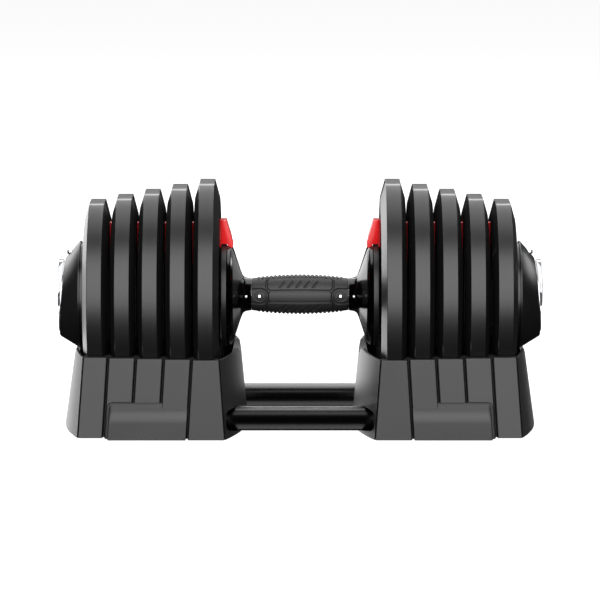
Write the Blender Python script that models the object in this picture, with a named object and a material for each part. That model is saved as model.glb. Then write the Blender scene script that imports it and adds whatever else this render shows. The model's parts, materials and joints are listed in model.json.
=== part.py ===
"""Adjustable dumbbell with a twist grip, resting in its storage tray.

Metres. +X runs along the handle, -Y is the front, +Z is up. The origin is on the ground under
the middle of the handle. The two ends are alike: side is +1 for the right end and -1 for the left.
Pieces of the dumbbell itself are modelled round the handle's axis, pieces of the tray round the
origin.
"""

import math

import bmesh
import bpy
from mathutils import Matrix, Vector

# General
AXIS_HEIGHT = 0.1159
GAP = 0.0003
WELD = 1e-6
FAR = 0.3
SIDES = ((-1, "left"), (1, "right"))
SHARP_ANGLE = math.radians(30)
FORWARD = (-math.pi / 2, "Z")
UPRIGHT = (-math.pi / 2, "Y")

# Weight plates, numbered from the handle outwards
PLATE_COUNT = 5
FIRST_PLATE_X = 0.0829
PLATE_PITCH = 0.0246
PLATE_HALF = 0.0111
PLATE_GAP = PLATE_PITCH - 2 * PLATE_HALF
RIM_HALF = 0.00655
LARGEST_PLATE_RADIUS = 0.1047
PLATE_RADIUS_STEP = 0.0045
SHOULDER_DEPTH = 0.0169
FLAT_DROP = 0.0023
HUB_RADIUS = 0.013
HUB_HEIGHT = PLATE_GAP - GAP
FIRST_HUB_HEIGHT = 0.0009
PLATE_SEGMENTS = 40
RECESS_DEPTH = 0.0085
RECESS_RIM = 0.026
SPINE_HALF = 0.018

# Tongue and groove between neighbouring plates
TONGUE_LOW = 0.027
TONGUE_HIGH = 0.0656
TONGUE_ROOT_HALF = 0.0061
TONGUE_TIP_HALF = 0.0081
TONGUE_REACH = PLATE_GAP + 0.0040
TONGUE_SEAT = 0.0030
GROOVE_FACE_HALF = 0.0067
GROOVE_FLOOR_HALF = 0.0089
GROOVE_DEPTH = 0.0048

# Selector bars, half round, side by side in the core tube
BAR_RADIUS = 0.0078
BAR_LENGTH = 0.138
BAR_TIP_X = 0.0695
BAR_SPLIT = 0.0002
BAR_CLEARANCE = 0.0004
TRAVEL = 0.123
TWIST = math.radians(300)
PIN_X = 0.0615
PIN_RADIUS = 0.0015
PIN_FOOT = 0.0028
PIN_REACH = 0.0113

# Core tube, drive sleeve and grip
TUBE_INNER = 0.0082
TUBE_OUTER = 0.0101
TUBE_HALF = 0.0703
SLOT_HALF_WIDTH = 0.0019
SLOT_HALF_LENGTH = 0.0634
SLEEVE_INNER = 0.0104
SLEEVE_OUTER = 0.0126
SLEEVE_HALF = 0.0644
HELIX_RADII = {-1: 0.01190, 1: 0.01183}
HELIX_STEPS = {-1: 20, 1: 19}
GRIP_INNER = 0.0129
GRIP_END_RADIUS = 0.0144
GRIP_SWELL = 0.0030
GRIP_HALF = 0.0436
GRIP_SCREW_X = 0.0363
GRIP_STATIONS = 6

# Bell covers, flange discs and lock buttons at the ends of the handle
BELL_START_X = 0.0441
FLANGE_X = 0.0656
FLANGE_END_X = 0.0704
FLANGE_RADIUS = 0.0463
NECK_SCREW_X = 0.0483
BUTTON_HALF = 0.0090
BUTTON_TOP = 0.0679
BUTTON_CLEARANCE = 0.0004
BUTTON_BASE = 0.0467
TAIL_HALF = 0.0060
TAIL_END_X = 0.0734
SPRING_X = 0.0622
SPRING_LOW = 0.0283
SPRING_HIGH = 0.0368
SPRING_RADIUS = 0.0020
SPRING_WIRE = 0.0004
SPRING_TURNS = 3

# End covers on the outermost plates, whose outer faces lean upwards
COVER_RADIUS = 0.0482
COVER_BAND_X = 0.1960
COVER_BAND_END_X = 0.1994
FACE_X = 0.2132
FACE_Z = -0.002
FACE_RADIUS = 0.0351
FACE_LEAN = math.radians(4.25)
BADGE_RADIUS = 0.031
BADGE_THICKNESS = 0.0008
LENS_RADIUS = 0.025
LENS_Z = 0.0065
LENS_END_X = 0.2169
COVER_START_X = FIRST_PLATE_X + PLATE_PITCH * (PLATE_COUNT - 1) + PLATE_HALF + GAP
COVER_STEP = 0.0017
COVER_HOLLOW_RADIUS = 0.028
COVER_HOLLOW_END_X = 0.206
COVER_HEAD_X = 0.2040
COVER_SCREW_Z = 0.0385
COVER_SEGMENTS = 28

# Tray
CRADLE_BOTTOM = 0.0012
CRADLE_TOP = 0.0712
STRIP_EDGES_TOP = (0.0700, 0.0952, 0.1198, 0.1445, 0.1691, 0.1918)
STRIP_EDGES_BOTTOM = (0.0652, 0.0995, 0.1241, 0.1488, 0.1734, 0.1970)
STRIP_DEPTHS_TOP = (0.098, 0.094, 0.090, 0.086, 0.082)
STRIP_DEPTHS_BOTTOM = (0.100, 0.0975, 0.095, 0.092, 0.089)
INNER_BULGE_TOP = 0.0535
INNER_BULGE_BOTTOM = 0.0468
OUTER_BULGE_TOP = 0.2015
OUTER_BULGE_BOTTOM = 0.2113
SEAM_HALF = 0.0011
SEAM_DEPTH = 0.0025
WALL = 0.003
TOP_WALL = 0.003
POCKET_CLEARANCE = 0.0009
POCKET_END_DEPTH = 0.018
RIB_DEPTH = 0.012
SIDE_FLOOR = 0.036
SIDE_WALL = 0.0024
INNER_SPACE_X = 0.0725
OUTER_SPACE_X = 0.1900
SPACE_END = 0.008
DECK_DEPTH = 0.005
DECK_REACH = 0.035
INNER_NOTCH_RADIUS = 0.0480
OUTER_NOTCH_RADIUS = 0.0525
BLOCK_HEIGHT = 0.032
BLOCK_X = (0.1003, 0.1722)
ROD_Y = 0.0608
ROD_Z = 0.0134
ROD_RADIUS = 0.011
ROD_HALF = 0.100
ROD_SLOT_X = 0.0652
ROD_SLOT_CORNER = 0.0035
SOCKET_RADIUS = 0.014
SOCKET_END_X = 0.103
BASE_LOW = 0.0014
BASE_HIGH = 0.0032
BASE_MARGIN = WALL + 0.0016
BASE_NARROW = 0.044
BASE_WIDE = 0.082
BASE_STEP_X = 0.1088
FOOT_X = 0.150
FOOT_Y = 0.070
FOOT_RADIUS = 0.009
FOOT_HEIGHT = 0.0011
FOOT_STEM_RADIUS = 0.0034
FOOT_STEM_TOP = 0.005

# Screws: thread radius, head radius
GRIP_SCREW = (0.0013, 0.0023)
COVER_SCREW = (0.0015, 0.0026)
ROD_SCREW = (0.0026, 0.0045)
NECK_SCREW_RADIUS = 0.0011
SCREW_SEGMENTS = 12


# Building blocks


def turned(profile, segments=24):
    """A solid turned about X. The profile is a list of (x, radius)."""
    bm = bmesh.new()
    verts = [bm.verts.new((x, 0, radius)) for x, radius in profile]
    edges = [bm.edges.new(pair) for pair in zip(verts, verts[1:])]
    if min(radius for _, radius in profile) > 0:
        edges.append(bm.edges.new((verts[-1], verts[0])))
    bmesh.ops.spin(
        bm,
        geom=verts + edges,
        cent=(0, 0, 0),
        axis=(1, 0, 0),
        angle=math.tau,
        steps=segments,
        use_merge=True,
    )
    return bm


def prism(outline, low, high, axis="Z"):
    """A flat outline extruded along one axis. Its points give the other two, in X, Y, Z order."""
    place = {
        "X": lambda a, b, along: (along, a, b),
        "Y": lambda a, b, along: (a, along, b),
        "Z": lambda a, b, along: (a, b, along),
    }[axis]
    bm = bmesh.new()
    face = bm.faces.new([bm.verts.new(place(a, b, low)) for a, b in outline])
    made = bmesh.ops.extrude_face_region(bm, geom=[face])["geom"]
    far_end = [item for item in made if isinstance(item, bmesh.types.BMVert)]
    bmesh.ops.translate(bm, verts=far_end, vec=place(0, 0, high - low))
    return bm


def box(low, high):
    """A block between two corners."""
    outline = ((low[0], low[1]), (high[0], low[1]), (high[0], high[1]), (low[0], high[1]))
    return prism(outline, low[2], high[2])


def stepped(low, step, high, thin, thick, side=1):
    """A screw along X, or the hole for one: thin up to the step and thick beyond it."""
    profile = ((low, 0), (low, thin), (step, thin), (step, thick), (high, thick), (high, 0))
    return turned(mirrored(profile, side), SCREW_SEGMENTS)


def loft(rings):
    """A solid through rings of points, closed at both ends."""
    bm = bmesh.new()
    loops = [[bm.verts.new(point) for point in ring] for ring in rings]
    for lower, upper in zip(loops, loops[1:]):
        for i, vert in enumerate(lower):
            after = (i + 1) % len(lower)
            bm.faces.new((vert, lower[after], upper[after], upper[i]))
    bm.faces.new(loops[0])
    bm.faces.new(loops[-1])
    return bm


def moved(bm, turn=None, by=(0, 0, 0)):
    """The same shape, turned by (angle, axis) about the origin and then shifted."""
    if turn:
        rotation = Matrix.Rotation(turn[0], 3, turn[1])
        bmesh.ops.rotate(bm, verts=bm.verts, cent=(0, 0, 0), matrix=rotation)
    bmesh.ops.translate(bm, verts=bm.verts, vec=by)
    return bm


def mirrored(outline, side):
    """The outline at one end of the handle, from its shape at the right end."""
    return [(side * x, other) for x, other in outline]


def arc(radius, start, end, count):
    """Points on an arc about the origin, both ends included."""
    angles = (start + (end - start) * i / count for i in range(count + 1))
    return [(radius * math.cos(angle), radius * math.sin(angle)) for angle in angles]


def stud(low, high, radius, segments=SCREW_SEGMENTS):
    """A plain cylinder along X."""
    return turned(((low, 0), (low, radius), (high, radius), (high, 0)), segments)


def material(name, colour, roughness, metallic, alpha=1.0):
    made = bpy.data.materials.new(name)
    made.use_nodes = True
    shader = made.node_tree.nodes["Principled BSDF"]
    shader.inputs["Base Color"].default_value = (*colour, 1)
    shader.inputs["Roughness"].default_value = roughness
    shader.inputs["Metallic"].default_value = metallic
    shader.inputs["Alpha"].default_value = alpha
    made.diffuse_color = (*colour, alpha)
    return made


def coated_iron(name):
    return material(name, (0.10, 0.10, 0.105), 0.45, 0.3)


def black_plastic(name):
    return material(name, (0.02, 0.02, 0.022), 0.35, 0.0)


def gloss_plastic(name):
    return material(name, (0.012, 0.012, 0.014), 0.15, 0.0)


def red_nylon(name):
    return material(name, (0.80, 0.02, 0.025), 0.35, 0.0)


def bright_steel(name):
    return material(name, (0.62, 0.62, 0.64), 0.25, 1.0)


def black_rubber(name):
    return material(name, (0.03, 0.03, 0.03), 0.75, 0.0)


def clear_plastic(name):
    return material(name, (0.9, 0.9, 0.92), 0.08, 0.0, alpha=0.35)


def add(name, bm, finish, parent, location=(0, 0, 0)):
    """Adds the shape to the scene as one named piece."""
    bmesh.ops.remove_doubles(bm, verts=bm.verts, dist=WELD)
    bmesh.ops.recalc_face_normals(bm, faces=bm.faces)
    mesh = bpy.data.meshes.new(name)
    bm.to_mesh(mesh)
    bm.free()
    mesh.shade_smooth()
    mesh.set_sharp_from_angle(angle=SHARP_ANGLE)
    piece = bpy.data.objects.new(name, mesh)
    piece.parent = parent
    piece.location = location
    bpy.context.scene.collection.objects.link(piece)
    if finish:
        mesh.materials.append(finish(name))
    return piece


def cutter(name, bm, parent, location=(0, 0, 0)):
    """Adds a helper that shapes a piece and isn't one itself."""
    helper = add(name, bm, None, parent, location)
    helper.hide_render = True
    helper.display_type = "WIRE"
    return helper


def combine(piece, operation, *others, solver="EXACT"):
    """Cuts the others from the piece, or joins them to it."""
    for other in others:
        boolean = piece.modifiers.new(other.name, "BOOLEAN")
        boolean.operation = operation
        boolean.solver = solver
        boolean.object = other


def empty(name, location):
    frame = bpy.data.objects.new(name, None)
    frame.location = location
    bpy.context.scene.collection.objects.link(frame)
    return frame


# Weight plates


def plate_x(number):
    return FIRST_PLATE_X + PLATE_PITCH * (number - 1)


def plate_radius(number):
    return LARGEST_PLATE_RADIUS - PLATE_RADIUS_STEP * (number - 1)


def half_round(radius, side, split):
    """The outline, in Y and Z, of a half-round bar or bore: the right end's is on the +Y side."""
    start = math.asin(split / radius)
    points = arc(radius, start - math.pi / 2, math.pi / 2 - start, 10)
    return [(side * y, z) for y, z in points]


def plate_profile(number, side):
    """From the hub's inner face, over the rim, to the outer face. The inner face faces the handle."""
    radius = plate_radius(number)
    inner_hub = -PLATE_HALF - (FIRST_HUB_HEIGHT if number == 1 else HUB_HEIGHT)
    right = (
        (inner_hub, 0),
        (inner_hub, HUB_RADIUS),
        (-PLATE_HALF, HUB_RADIUS),
        (-PLATE_HALF, radius - SHOULDER_DEPTH),
        (-RIM_HALF, radius),
        (RIM_HALF, radius),
        (PLATE_HALF, radius - SHOULDER_DEPTH),
        (PLATE_HALF, 0),
    )
    return mirrored(right, side)


def plate_recesses(number):
    """Four shallow pockets in the plate's faces, either side of its upright spine."""
    reach = plate_radius(number) - RECESS_RIM
    start = math.asin(SPINE_HALF / reach)
    outline = arc(reach, start, math.pi - start, 12)
    for sign in (-1, 1):
        points = [(sign * across, z) for z, across in outline]
        for end in (-1, 1):
            low, high = sorted((end * (PLATE_HALF - RECESS_DEPTH), end * 2 * PLATE_HALF))
            yield prism(points, low, high, "X")


def add_plate(number, side, word, axis):
    """A cast plate: flat on top, a half-round bore for the selector bar, and an upright dovetail
    groove, open at both ends, in its inner face."""
    name = f"{word}_plate_{number}"
    at = (side * plate_x(number), 0, 0)
    radius = plate_radius(number)
    bm = turned(plate_profile(number, side), PLATE_SEGMENTS)
    geometry = list(bm.verts) + list(bm.edges) + list(bm.faces)
    flat = (0, 0, radius - FLAT_DROP)
    cut = bmesh.ops.bisect_plane(bm, geom=geometry, plane_co=flat, plane_no=(0, 0, 1), clear_outer=True)
    rim = [item for item in cut["geom_cut"] if isinstance(item, bmesh.types.BMEdge)]
    bmesh.ops.remove_doubles(bm, verts=bm.verts, dist=WELD)
    bmesh.ops.holes_fill(bm, edges=[edge for edge in rim if edge.is_valid], sides=0)
    plate = add(name, bm, coated_iron, axis, at)

    bore = half_round(BAR_RADIUS + BAR_CLEARANCE, side, -BAR_SPLIT)
    face = -PLATE_HALF
    groove = (
        (face - PLATE_HALF, -GROOVE_FACE_HALF),
        (face, -GROOVE_FACE_HALF),
        (face + GROOVE_DEPTH, -GROOVE_FLOOR_HALF),
        (face + GROOVE_DEPTH, GROOVE_FLOOR_HALF),
        (face, GROOVE_FACE_HALF),
        (face - PLATE_HALF, GROOVE_FACE_HALF),
    )
    cutters = [
        cutter(f"{name}_bore", prism(bore, -FAR, FAR, "X"), axis, at),
        cutter(f"{name}_groove", prism(mirrored(groove, side), -FAR, FAR), axis, at),
    ]
    if number < PLATE_COUNT:
        seat = side * (PLATE_HALF - TONGUE_SEAT)
        half = TONGUE_ROOT_HALF + GAP
        low, high = sorted((seat, side * FAR))
        pocket = box((low, -half, TONGUE_LOW - GAP), (high, half, TONGUE_HIGH + GAP))
        cutters.append(cutter(f"{name}_guide_seat", pocket, axis, at))
    else:
        hole = stud(side * (PLATE_HALF - 0.006), side * FAR, COVER_SCREW[0] + GAP)
        hole = moved(hole, by=(0, 0, COVER_SCREW_Z))
        cutters.append(cutter(f"{name}_screw_hole", hole, axis, at))
    for i, recess in enumerate(plate_recesses(number)):
        cutters.append(cutter(f"{name}_recess_{i}", recess, axis, at))
    combine(plate, "DIFFERENCE", *cutters)


def add_guide(number, side, word, axis):
    """The nylon dovetail tongue that stands out of a plate's outer face into the next plate's groove."""
    outline = (
        (PLATE_HALF - TONGUE_SEAT + GAP, -TONGUE_ROOT_HALF),
        (PLATE_HALF + PLATE_GAP, -TONGUE_ROOT_HALF),
        (PLATE_HALF + TONGUE_REACH, -TONGUE_TIP_HALF),
        (PLATE_HALF + TONGUE_REACH, TONGUE_TIP_HALF),
        (PLATE_HALF + PLATE_GAP, TONGUE_ROOT_HALF),
        (PLATE_HALF - TONGUE_SEAT + GAP, TONGUE_ROOT_HALF),
    )
    bm = prism(mirrored(outline, side), TONGUE_LOW, TONGUE_HIGH)
    add(f"{word}_guide_{number}", bm, red_nylon, axis, (side * plate_x(number), 0, 0))


# End covers


def face_point(side, angle, radius, off, centre_z=FACE_Z):
    """A point on the cover's leaning face, this far off it, on a circle about centre_z."""
    height = centre_z + radius * math.sin(angle)
    x = FACE_X - (height - FACE_Z) * math.tan(FACE_LEAN) + off / math.cos(FACE_LEAN)
    return (side * x, radius * math.cos(angle), height)


def face_ring(side, radius, off, centre_z=FACE_Z):
    angles = (math.tau * i / COVER_SEGMENTS for i in range(COVER_SEGMENTS))
    return [face_point(side, angle, radius, off, centre_z) for angle in angles]


def upright_ring(side, radius, x, centre_z=0.0):
    circle = arc(radius, 0, math.tau, COVER_SEGMENTS)[:-1]
    return [(side * x, y, centre_z + z) for y, z in circle]


def add_end_cover(side, word, axis):
    """The cover on the outermost plate, with its badge, clear lens and screw."""
    rings = (
        upright_ring(side, COVER_RADIUS - COVER_STEP, COVER_START_X),
        upright_ring(side, COVER_RADIUS - COVER_STEP, COVER_BAND_X),
        upright_ring(side, COVER_RADIUS, COVER_BAND_X + 0.0001),
        upright_ring(side, COVER_RADIUS, COVER_BAND_END_X),
        face_ring(side, FACE_RADIUS, 0),
    )
    cover = add(f"{word}_end_cover", loft(rings), gloss_plastic, axis)
    before = COVER_START_X - 0.01
    thread, head = COVER_SCREW
    hollow = stud(side * before, side * COVER_HOLLOW_END_X, COVER_HOLLOW_RADIUS, 24)
    hole = stepped(before, COVER_HEAD_X - GAP, FAR, thread + GAP, head + GAP, side)
    screw = stepped(COVER_START_X - 0.004, COVER_HEAD_X, COVER_HEAD_X + 0.005, thread, head, side)
    for bm in (hole, screw):
        moved(bm, by=(0, 0, COVER_SCREW_Z))
    combine(
        cover,
        "DIFFERENCE",
        cutter(f"{word}_end_cover_hollow", hollow, axis),
        cutter(f"{word}_end_cover_screw_hole", hole, axis),
    )
    add(f"{word}_cover_screw", screw, bright_steel, axis)
    back, front = (face_ring(side, BADGE_RADIUS, off) for off in (GAP, GAP + BADGE_THICKNESS))
    add(f"{word}_badge", loft((back, front)), bright_steel, axis)
    lens_off = 2 * GAP + BADGE_THICKNESS
    lens = loft(
        (
            face_ring(side, LENS_RADIUS, lens_off, LENS_Z),
            upright_ring(side, LENS_RADIUS, LENS_END_X, LENS_Z),
        )
    )
    add(f"{word}_lens", lens, clear_plastic, axis)


# Handle


def add_core_tube(axis):
    """The fixed tube that holds both selector bars, slotted for their follower pins."""
    ring = (
        (-TUBE_HALF, TUBE_INNER),
        (TUBE_HALF, TUBE_INNER),
        (TUBE_HALF, TUBE_OUTER),
        (-TUBE_HALF, TUBE_OUTER),
    )
    tube = add("core_tube", turned(ring), bright_steel, axis)
    low = (-SLOT_HALF_LENGTH, -FAR, -SLOT_HALF_WIDTH)
    high = (SLOT_HALF_LENGTH, FAR, SLOT_HALF_WIDTH)
    combine(tube, "DIFFERENCE", cutter("core_tube_slots", box(low, high), axis))


def add_selector(side, word, axis):
    """A half-round bar and the follower pin near its inner end."""
    outline = half_round(BAR_RADIUS, side, BAR_SPLIT)
    ends = sorted((side * BAR_TIP_X, side * (BAR_TIP_X - BAR_LENGTH)))
    bar = add(f"{word}_selector_bar", prism(outline, *ends, "X"), bright_steel, axis)
    quarter = (side * math.pi / 2, "Z")
    hole = moved(stud(PIN_FOOT - GAP, FAR, PIN_RADIUS + GAP), quarter)
    pin = moved(stud(PIN_FOOT, PIN_REACH, PIN_RADIUS), quarter)
    at = (-side * PIN_X, 0, 0)
    combine(bar, "DIFFERENCE", cutter(f"{word}_selector_bar_hole", hole, axis, at))
    add(f"{word}_follower_pin", pin, bright_steel, axis, at)


def helix_groove(side):
    """The path of one follower pin round the drive sleeve's bore, a little longer than its travel."""
    steps, outer_radius = HELIX_STEPS[side], HELIX_RADII[side]
    overrun, half_angle, inner_radius = 0.02, 0.2, 0.0095
    rings = []
    for i in range(steps + 1):
        along = -overrun + (1 + 2 * overrun) * i / steps
        x = side * (along * TRAVEL - PIN_X)
        angle = (0 if side > 0 else math.pi) - along * TWIST
        floor = [(outer_radius, angle + half_angle * part / 3) for part in (-3, -1, 1, 3)]
        corners = floor + [(inner_radius, angle + half_angle), (inner_radius, angle - half_angle)]
        rings.append([(x, radius * math.cos(turn), radius * math.sin(turn)) for radius, turn in corners])
    return loft(rings)


def add_grip(axis):
    """The rubber grip, the drive sleeve inside it, and the two screws that join them."""
    ring = (
        (-SLEEVE_HALF, SLEEVE_INNER),
        (SLEEVE_HALF, SLEEVE_INNER),
        (SLEEVE_HALF, SLEEVE_OUTER),
        (-SLEEVE_HALF, SLEEVE_OUTER),
    )
    sleeve = add("drive_sleeve", turned(ring), bright_steel, axis)
    for side, word in SIDES:
        combine(sleeve, "DIFFERENCE", cutter(f"{word}_helix_groove", helix_groove(side), axis))

    barrel = [(-GRIP_HALF, GRIP_INNER)]
    for i in range(GRIP_STATIONS + 1):
        along = 2 * i / GRIP_STATIONS - 1
        barrel.append((along * GRIP_HALF, GRIP_END_RADIUS + GRIP_SWELL * (1 - along**2)))
    barrel.append((GRIP_HALF, GRIP_INNER))
    grip = add("grip_sleeve", turned(barrel), black_rubber, axis)

    tip, seat, top = 0.0114, 0.0142, 0.0154
    thread, head = GRIP_SCREW
    for side, word in SIDES:
        at = (side * GRIP_SCREW_X, 0, 0)
        screw = moved(stepped(tip, seat, top, thread, head), FORWARD)
        add(f"{word}_grip_screw", screw, bright_steel, axis, at)
        pilot = moved(stud(tip - GAP, FAR, thread + GAP), FORWARD)
        pilot_cutter = cutter(f"{word}_grip_pilot", pilot, axis, at)
        combine(sleeve, "DIFFERENCE", pilot_cutter)
        counterbore = moved(stud(seat - GAP, FAR, head + GAP), FORWARD)
        bore_cutter = cutter(f"{word}_grip_counterbore", counterbore, axis, at)
        combine(grip, "DIFFERENCE", pilot_cutter, bore_cutter)


def add_bell(side, word, axis):
    """The flared cover at the end of the handle. Its neck is a bearing for the drive sleeve, and
    a shelf inside holds the lock button's spring."""
    profile = (
        (BELL_START_X, 0.0143),
        (0.0504, 0.0159),
        (0.0533, 0.0222),
        (0.0599, 0.0423),
        (0.0622, 0.0453),
        (FLANGE_X - GAP, FLANGE_RADIUS),
        (FLANGE_X - GAP, 0.0443),
        (0.0630, 0.0432),
        (0.0612, 0.0405),
        (0.0555, 0.0228),
        (0.0530, GRIP_INNER),
        (BELL_START_X, GRIP_INNER),
    )
    bell = add(f"{word}_bell", turned(mirrored(profile, side), 28), gloss_plastic, axis)
    shelf_x = sorted((side * 0.0552, side * 0.0648))
    shelf = box((shelf_x[0], -0.006, 0.0255), (shelf_x[1], 0.006, SPRING_LOW - GAP))
    combine(bell, "UNION", cutter(f"{word}_bell_shelf", shelf, axis))
    window_x = sorted((side * 0.0585, side * 0.0700))
    half = BUTTON_HALF + BUTTON_CLEARANCE
    window = box((window_x[0], -half, 0.038), (window_x[1], half, 0.060))
    neck_hole = moved(stud(0.010, 0.020, NECK_SCREW_RADIUS + GAP, 10), FORWARD)
    neck_screw = moved(stud(0.0134, 0.0158, NECK_SCREW_RADIUS, 10), FORWARD)
    at = (side * NECK_SCREW_X, 0, 0)
    combine(
        bell,
        "DIFFERENCE",
        cutter(f"{word}_bell_window", window, axis),
        cutter(f"{word}_neck_hole", neck_hole, axis, at),
    )
    add(f"{word}_neck_screw", neck_screw, bright_steel, axis, at)


def add_flange(side, word, axis):
    """The steel disc that closes the bell and carries the core tube, notched for the lock button."""
    bore = TUBE_OUTER + GAP
    ring = (
        (FLANGE_X, bore),
        (FLANGE_END_X, bore),
        (FLANGE_END_X, FLANGE_RADIUS),
        (FLANGE_X, FLANGE_RADIUS),
    )
    disc = add(f"{word}_flange_disc", turned(mirrored(ring, side), 32), coated_iron, axis)
    half = BUTTON_HALF + BUTTON_CLEARANCE
    notch_x = sorted((side * 0.060, side * 0.080))
    notch = box((notch_x[0], -half, 0.0422), (notch_x[1], half, 0.060))
    combine(disc, "DIFFERENCE", cutter(f"{word}_flange_notch", notch, axis))


def add_lock_button(side, word, axis):
    """A sprung red button on top of the bell. Its tail runs in the first plate's groove."""
    body = (
        (0.0704, BUTTON_BASE),
        (0.0704, BUTTON_TOP),
        (0.0659, BUTTON_TOP),
        (0.0613, 0.0526),
        (0.0599, 0.0446),
        (0.0612, 0.0434),
        (0.0612, SPRING_HIGH + GAP),
        (0.0649, SPRING_HIGH + GAP),
        (0.0649, BUTTON_BASE),
    )
    tail = (
        (0.0690, BUTTON_BASE + 0.001),
        (0.0707, BUTTON_BASE + 0.001),
        (0.0707, 0.0432),
        (TAIL_END_X, 0.0432),
        (TAIL_END_X, BUTTON_TOP - 0.0002),
        (0.0690, BUTTON_TOP - 0.0002),
    )
    body_bm = prism(mirrored(body, side), -BUTTON_HALF, BUTTON_HALF, "Y")
    tail_bm = prism(mirrored(tail, side), -TAIL_HALF, TAIL_HALF, "Y")
    button = add(f"{word}_lock_button", body_bm, red_nylon, axis)
    combine(button, "UNION", cutter(f"{word}_lock_button_tail", tail_bm, axis))


def add_spring(side, word, axis):
    """The coil spring under a lock button, as a bevelled curve."""
    curve = bpy.data.curves.new(f"{word}_lock_spring", "CURVE")
    curve.dimensions = "3D"
    curve.bevel_depth = SPRING_WIRE
    curve.bevel_resolution = 0
    curve.use_fill_caps = True
    per_turn = 8
    count = SPRING_TURNS * per_turn
    spline = curve.splines.new("POLY")
    spline.points.add(count)
    low, high = SPRING_LOW + SPRING_WIRE, SPRING_HIGH - SPRING_WIRE
    for i, point in enumerate(spline.points):
        angle = math.tau * i / per_turn
        height = low + (high - low) * i / count
        x = side * SPRING_X + SPRING_RADIUS * math.cos(angle)
        point.co = (x, SPRING_RADIUS * math.sin(angle), height, 1)
    spring = bpy.data.objects.new(f"{word}_lock_spring", curve)
    spring.parent = axis
    curve.materials.append(bright_steel(f"{word}_lock_spring"))
    bpy.context.scene.collection.objects.link(spring)


# Tray


def bulge(edge, middle, y, depth):
    """X of a side wall that curves from its front and rear edges out to its middle."""
    return middle + (edge - middle) * (y / depth) ** 2


def cradle_ring(side, height, edges, depths, middles, inset, seams):
    """One level of the cradle's outline. The front and rear step back from plate to plate."""
    steps = 10
    first, last = depths[0] - inset, depths[-1] - inset
    front = [(edges[0] + inset, -first)]
    for i in range(1, len(depths)):
        near, far = -(depths[i - 1] - inset), -(depths[i] - inset)
        if seams:
            low = far + SEAM_DEPTH
            front += [(edges[i] - SEAM_HALF, near), (edges[i] - SEAM_HALF, low)]
            front += [(edges[i] + SEAM_HALF, low), (edges[i] + SEAM_HALF, far)]
        else:
            front += [(edges[i] - inset, near), (edges[i] - inset, far)]
    front.append((edges[-1] - inset, -last))
    outer, inner = [], []
    for i in range(1, steps):
        y = 2 * i / steps - 1
        outer.append((bulge(edges[-1], middles[1], y, 1) - inset, y * last))
        inner.append((bulge(edges[0], middles[0], y, 1) + inset, -y * first))
    rear = [(x, -y) for x, y in reversed(front)]
    return [(side * x, y, height) for x, y in front + outer + rear + inner]


def cradle_body(side, low, high, inset=0.0, seams=False):
    """The cradle's drafted outer shape, or the same shape drawn in by inset."""
    bottom = (STRIP_EDGES_BOTTOM, STRIP_DEPTHS_BOTTOM, (INNER_BULGE_BOTTOM, OUTER_BULGE_BOTTOM))
    top = (STRIP_EDGES_TOP, STRIP_DEPTHS_TOP, (INNER_BULGE_TOP, OUTER_BULGE_TOP))
    return loft(
        (
            cradle_ring(side, low, *bottom, inset, seams),
            cradle_ring(side, high, *top, inset, seams),
        )
    )


def pocket_envelope(side):
    """A plain cone, at least a wall's thickness outside the pockets of all five plates."""
    slope = PLATE_RADIUS_STEP / PLATE_PITCH
    corner_x = plate_x(1) + RIM_HALF + POCKET_CLEARANCE
    corner_radius = plate_radius(1) + POCKET_CLEARANCE + WALL - 0.0005
    ends = (plate_x(1) - PLATE_PITCH / 2 - WALL, plate_x(PLATE_COUNT) + PLATE_PITCH / 2 + WALL)
    first, last = ((x, corner_radius + (corner_x - x) * slope) for x in ends)
    return mirrored(((first[0], 0), first, last, (last[0], 0)), side)


def pocket_profile(side):
    """The turned space that all five plates of one end stand in, with a rib between each two."""
    first = plate_x(1) - PLATE_PITCH / 2 - 0.0006
    last = plate_x(PLATE_COUNT) + PLATE_PITCH / 2 + 0.0012
    profile = [(first, 0), (first, plate_radius(1) - POCKET_END_DEPTH)]
    for number in range(1, PLATE_COUNT + 1):
        x, radius = plate_x(number), plate_radius(number) + POCKET_CLEARANCE
        half = RIM_HALF + POCKET_CLEARANCE
        profile += [(x - half, radius), (x + half, radius)]
        if number < PLATE_COUNT:
            profile.append((x + PLATE_PITCH / 2, plate_radius(number + 1) - RIB_DEPTH))
    profile += [(last, plate_radius(PLATE_COUNT) - POCKET_END_DEPTH), (last, 0)]
    return mirrored(profile, side)


def side_space(side):
    """The two open spaces between the plates and the cradle's curved side walls."""
    count = 12
    spaces = []
    for middle, edge, depth, sign, plates_x in (
        (INNER_BULGE_TOP, STRIP_EDGES_TOP[0], STRIP_DEPTHS_TOP[0], 1, INNER_SPACE_X),
        (OUTER_BULGE_TOP, STRIP_EDGES_TOP[-1], STRIP_DEPTHS_TOP[-1], -1, OUTER_SPACE_X),
    ):
        reach = depth - SPACE_END
        outline = [(plates_x, reach), (plates_x, -reach)]
        for i in range(count + 1):
            y = reach * (2 * i / count - 1)
            deck = DECK_DEPTH * max(0.0, 1 - (y / DECK_REACH) ** 2) if sign > 0 else 0.0
            outline.append((bulge(edge, middle, y, depth) + sign * (SIDE_WALL + deck), y))
        spaces.append(prism(mirrored(outline, side), SIDE_FLOOR, CRADLE_TOP + 0.01))
    return spaces


def rod_line(radius, low, high, side, segments=20):
    """Two cylinders on the rods' lines, between two distances from the middle."""
    return [
        moved(stud(side * low, side * high, radius, segments), by=(0, sign * ROD_Y, ROD_Z))
        for sign in (-1, 1)
    ]


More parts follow.
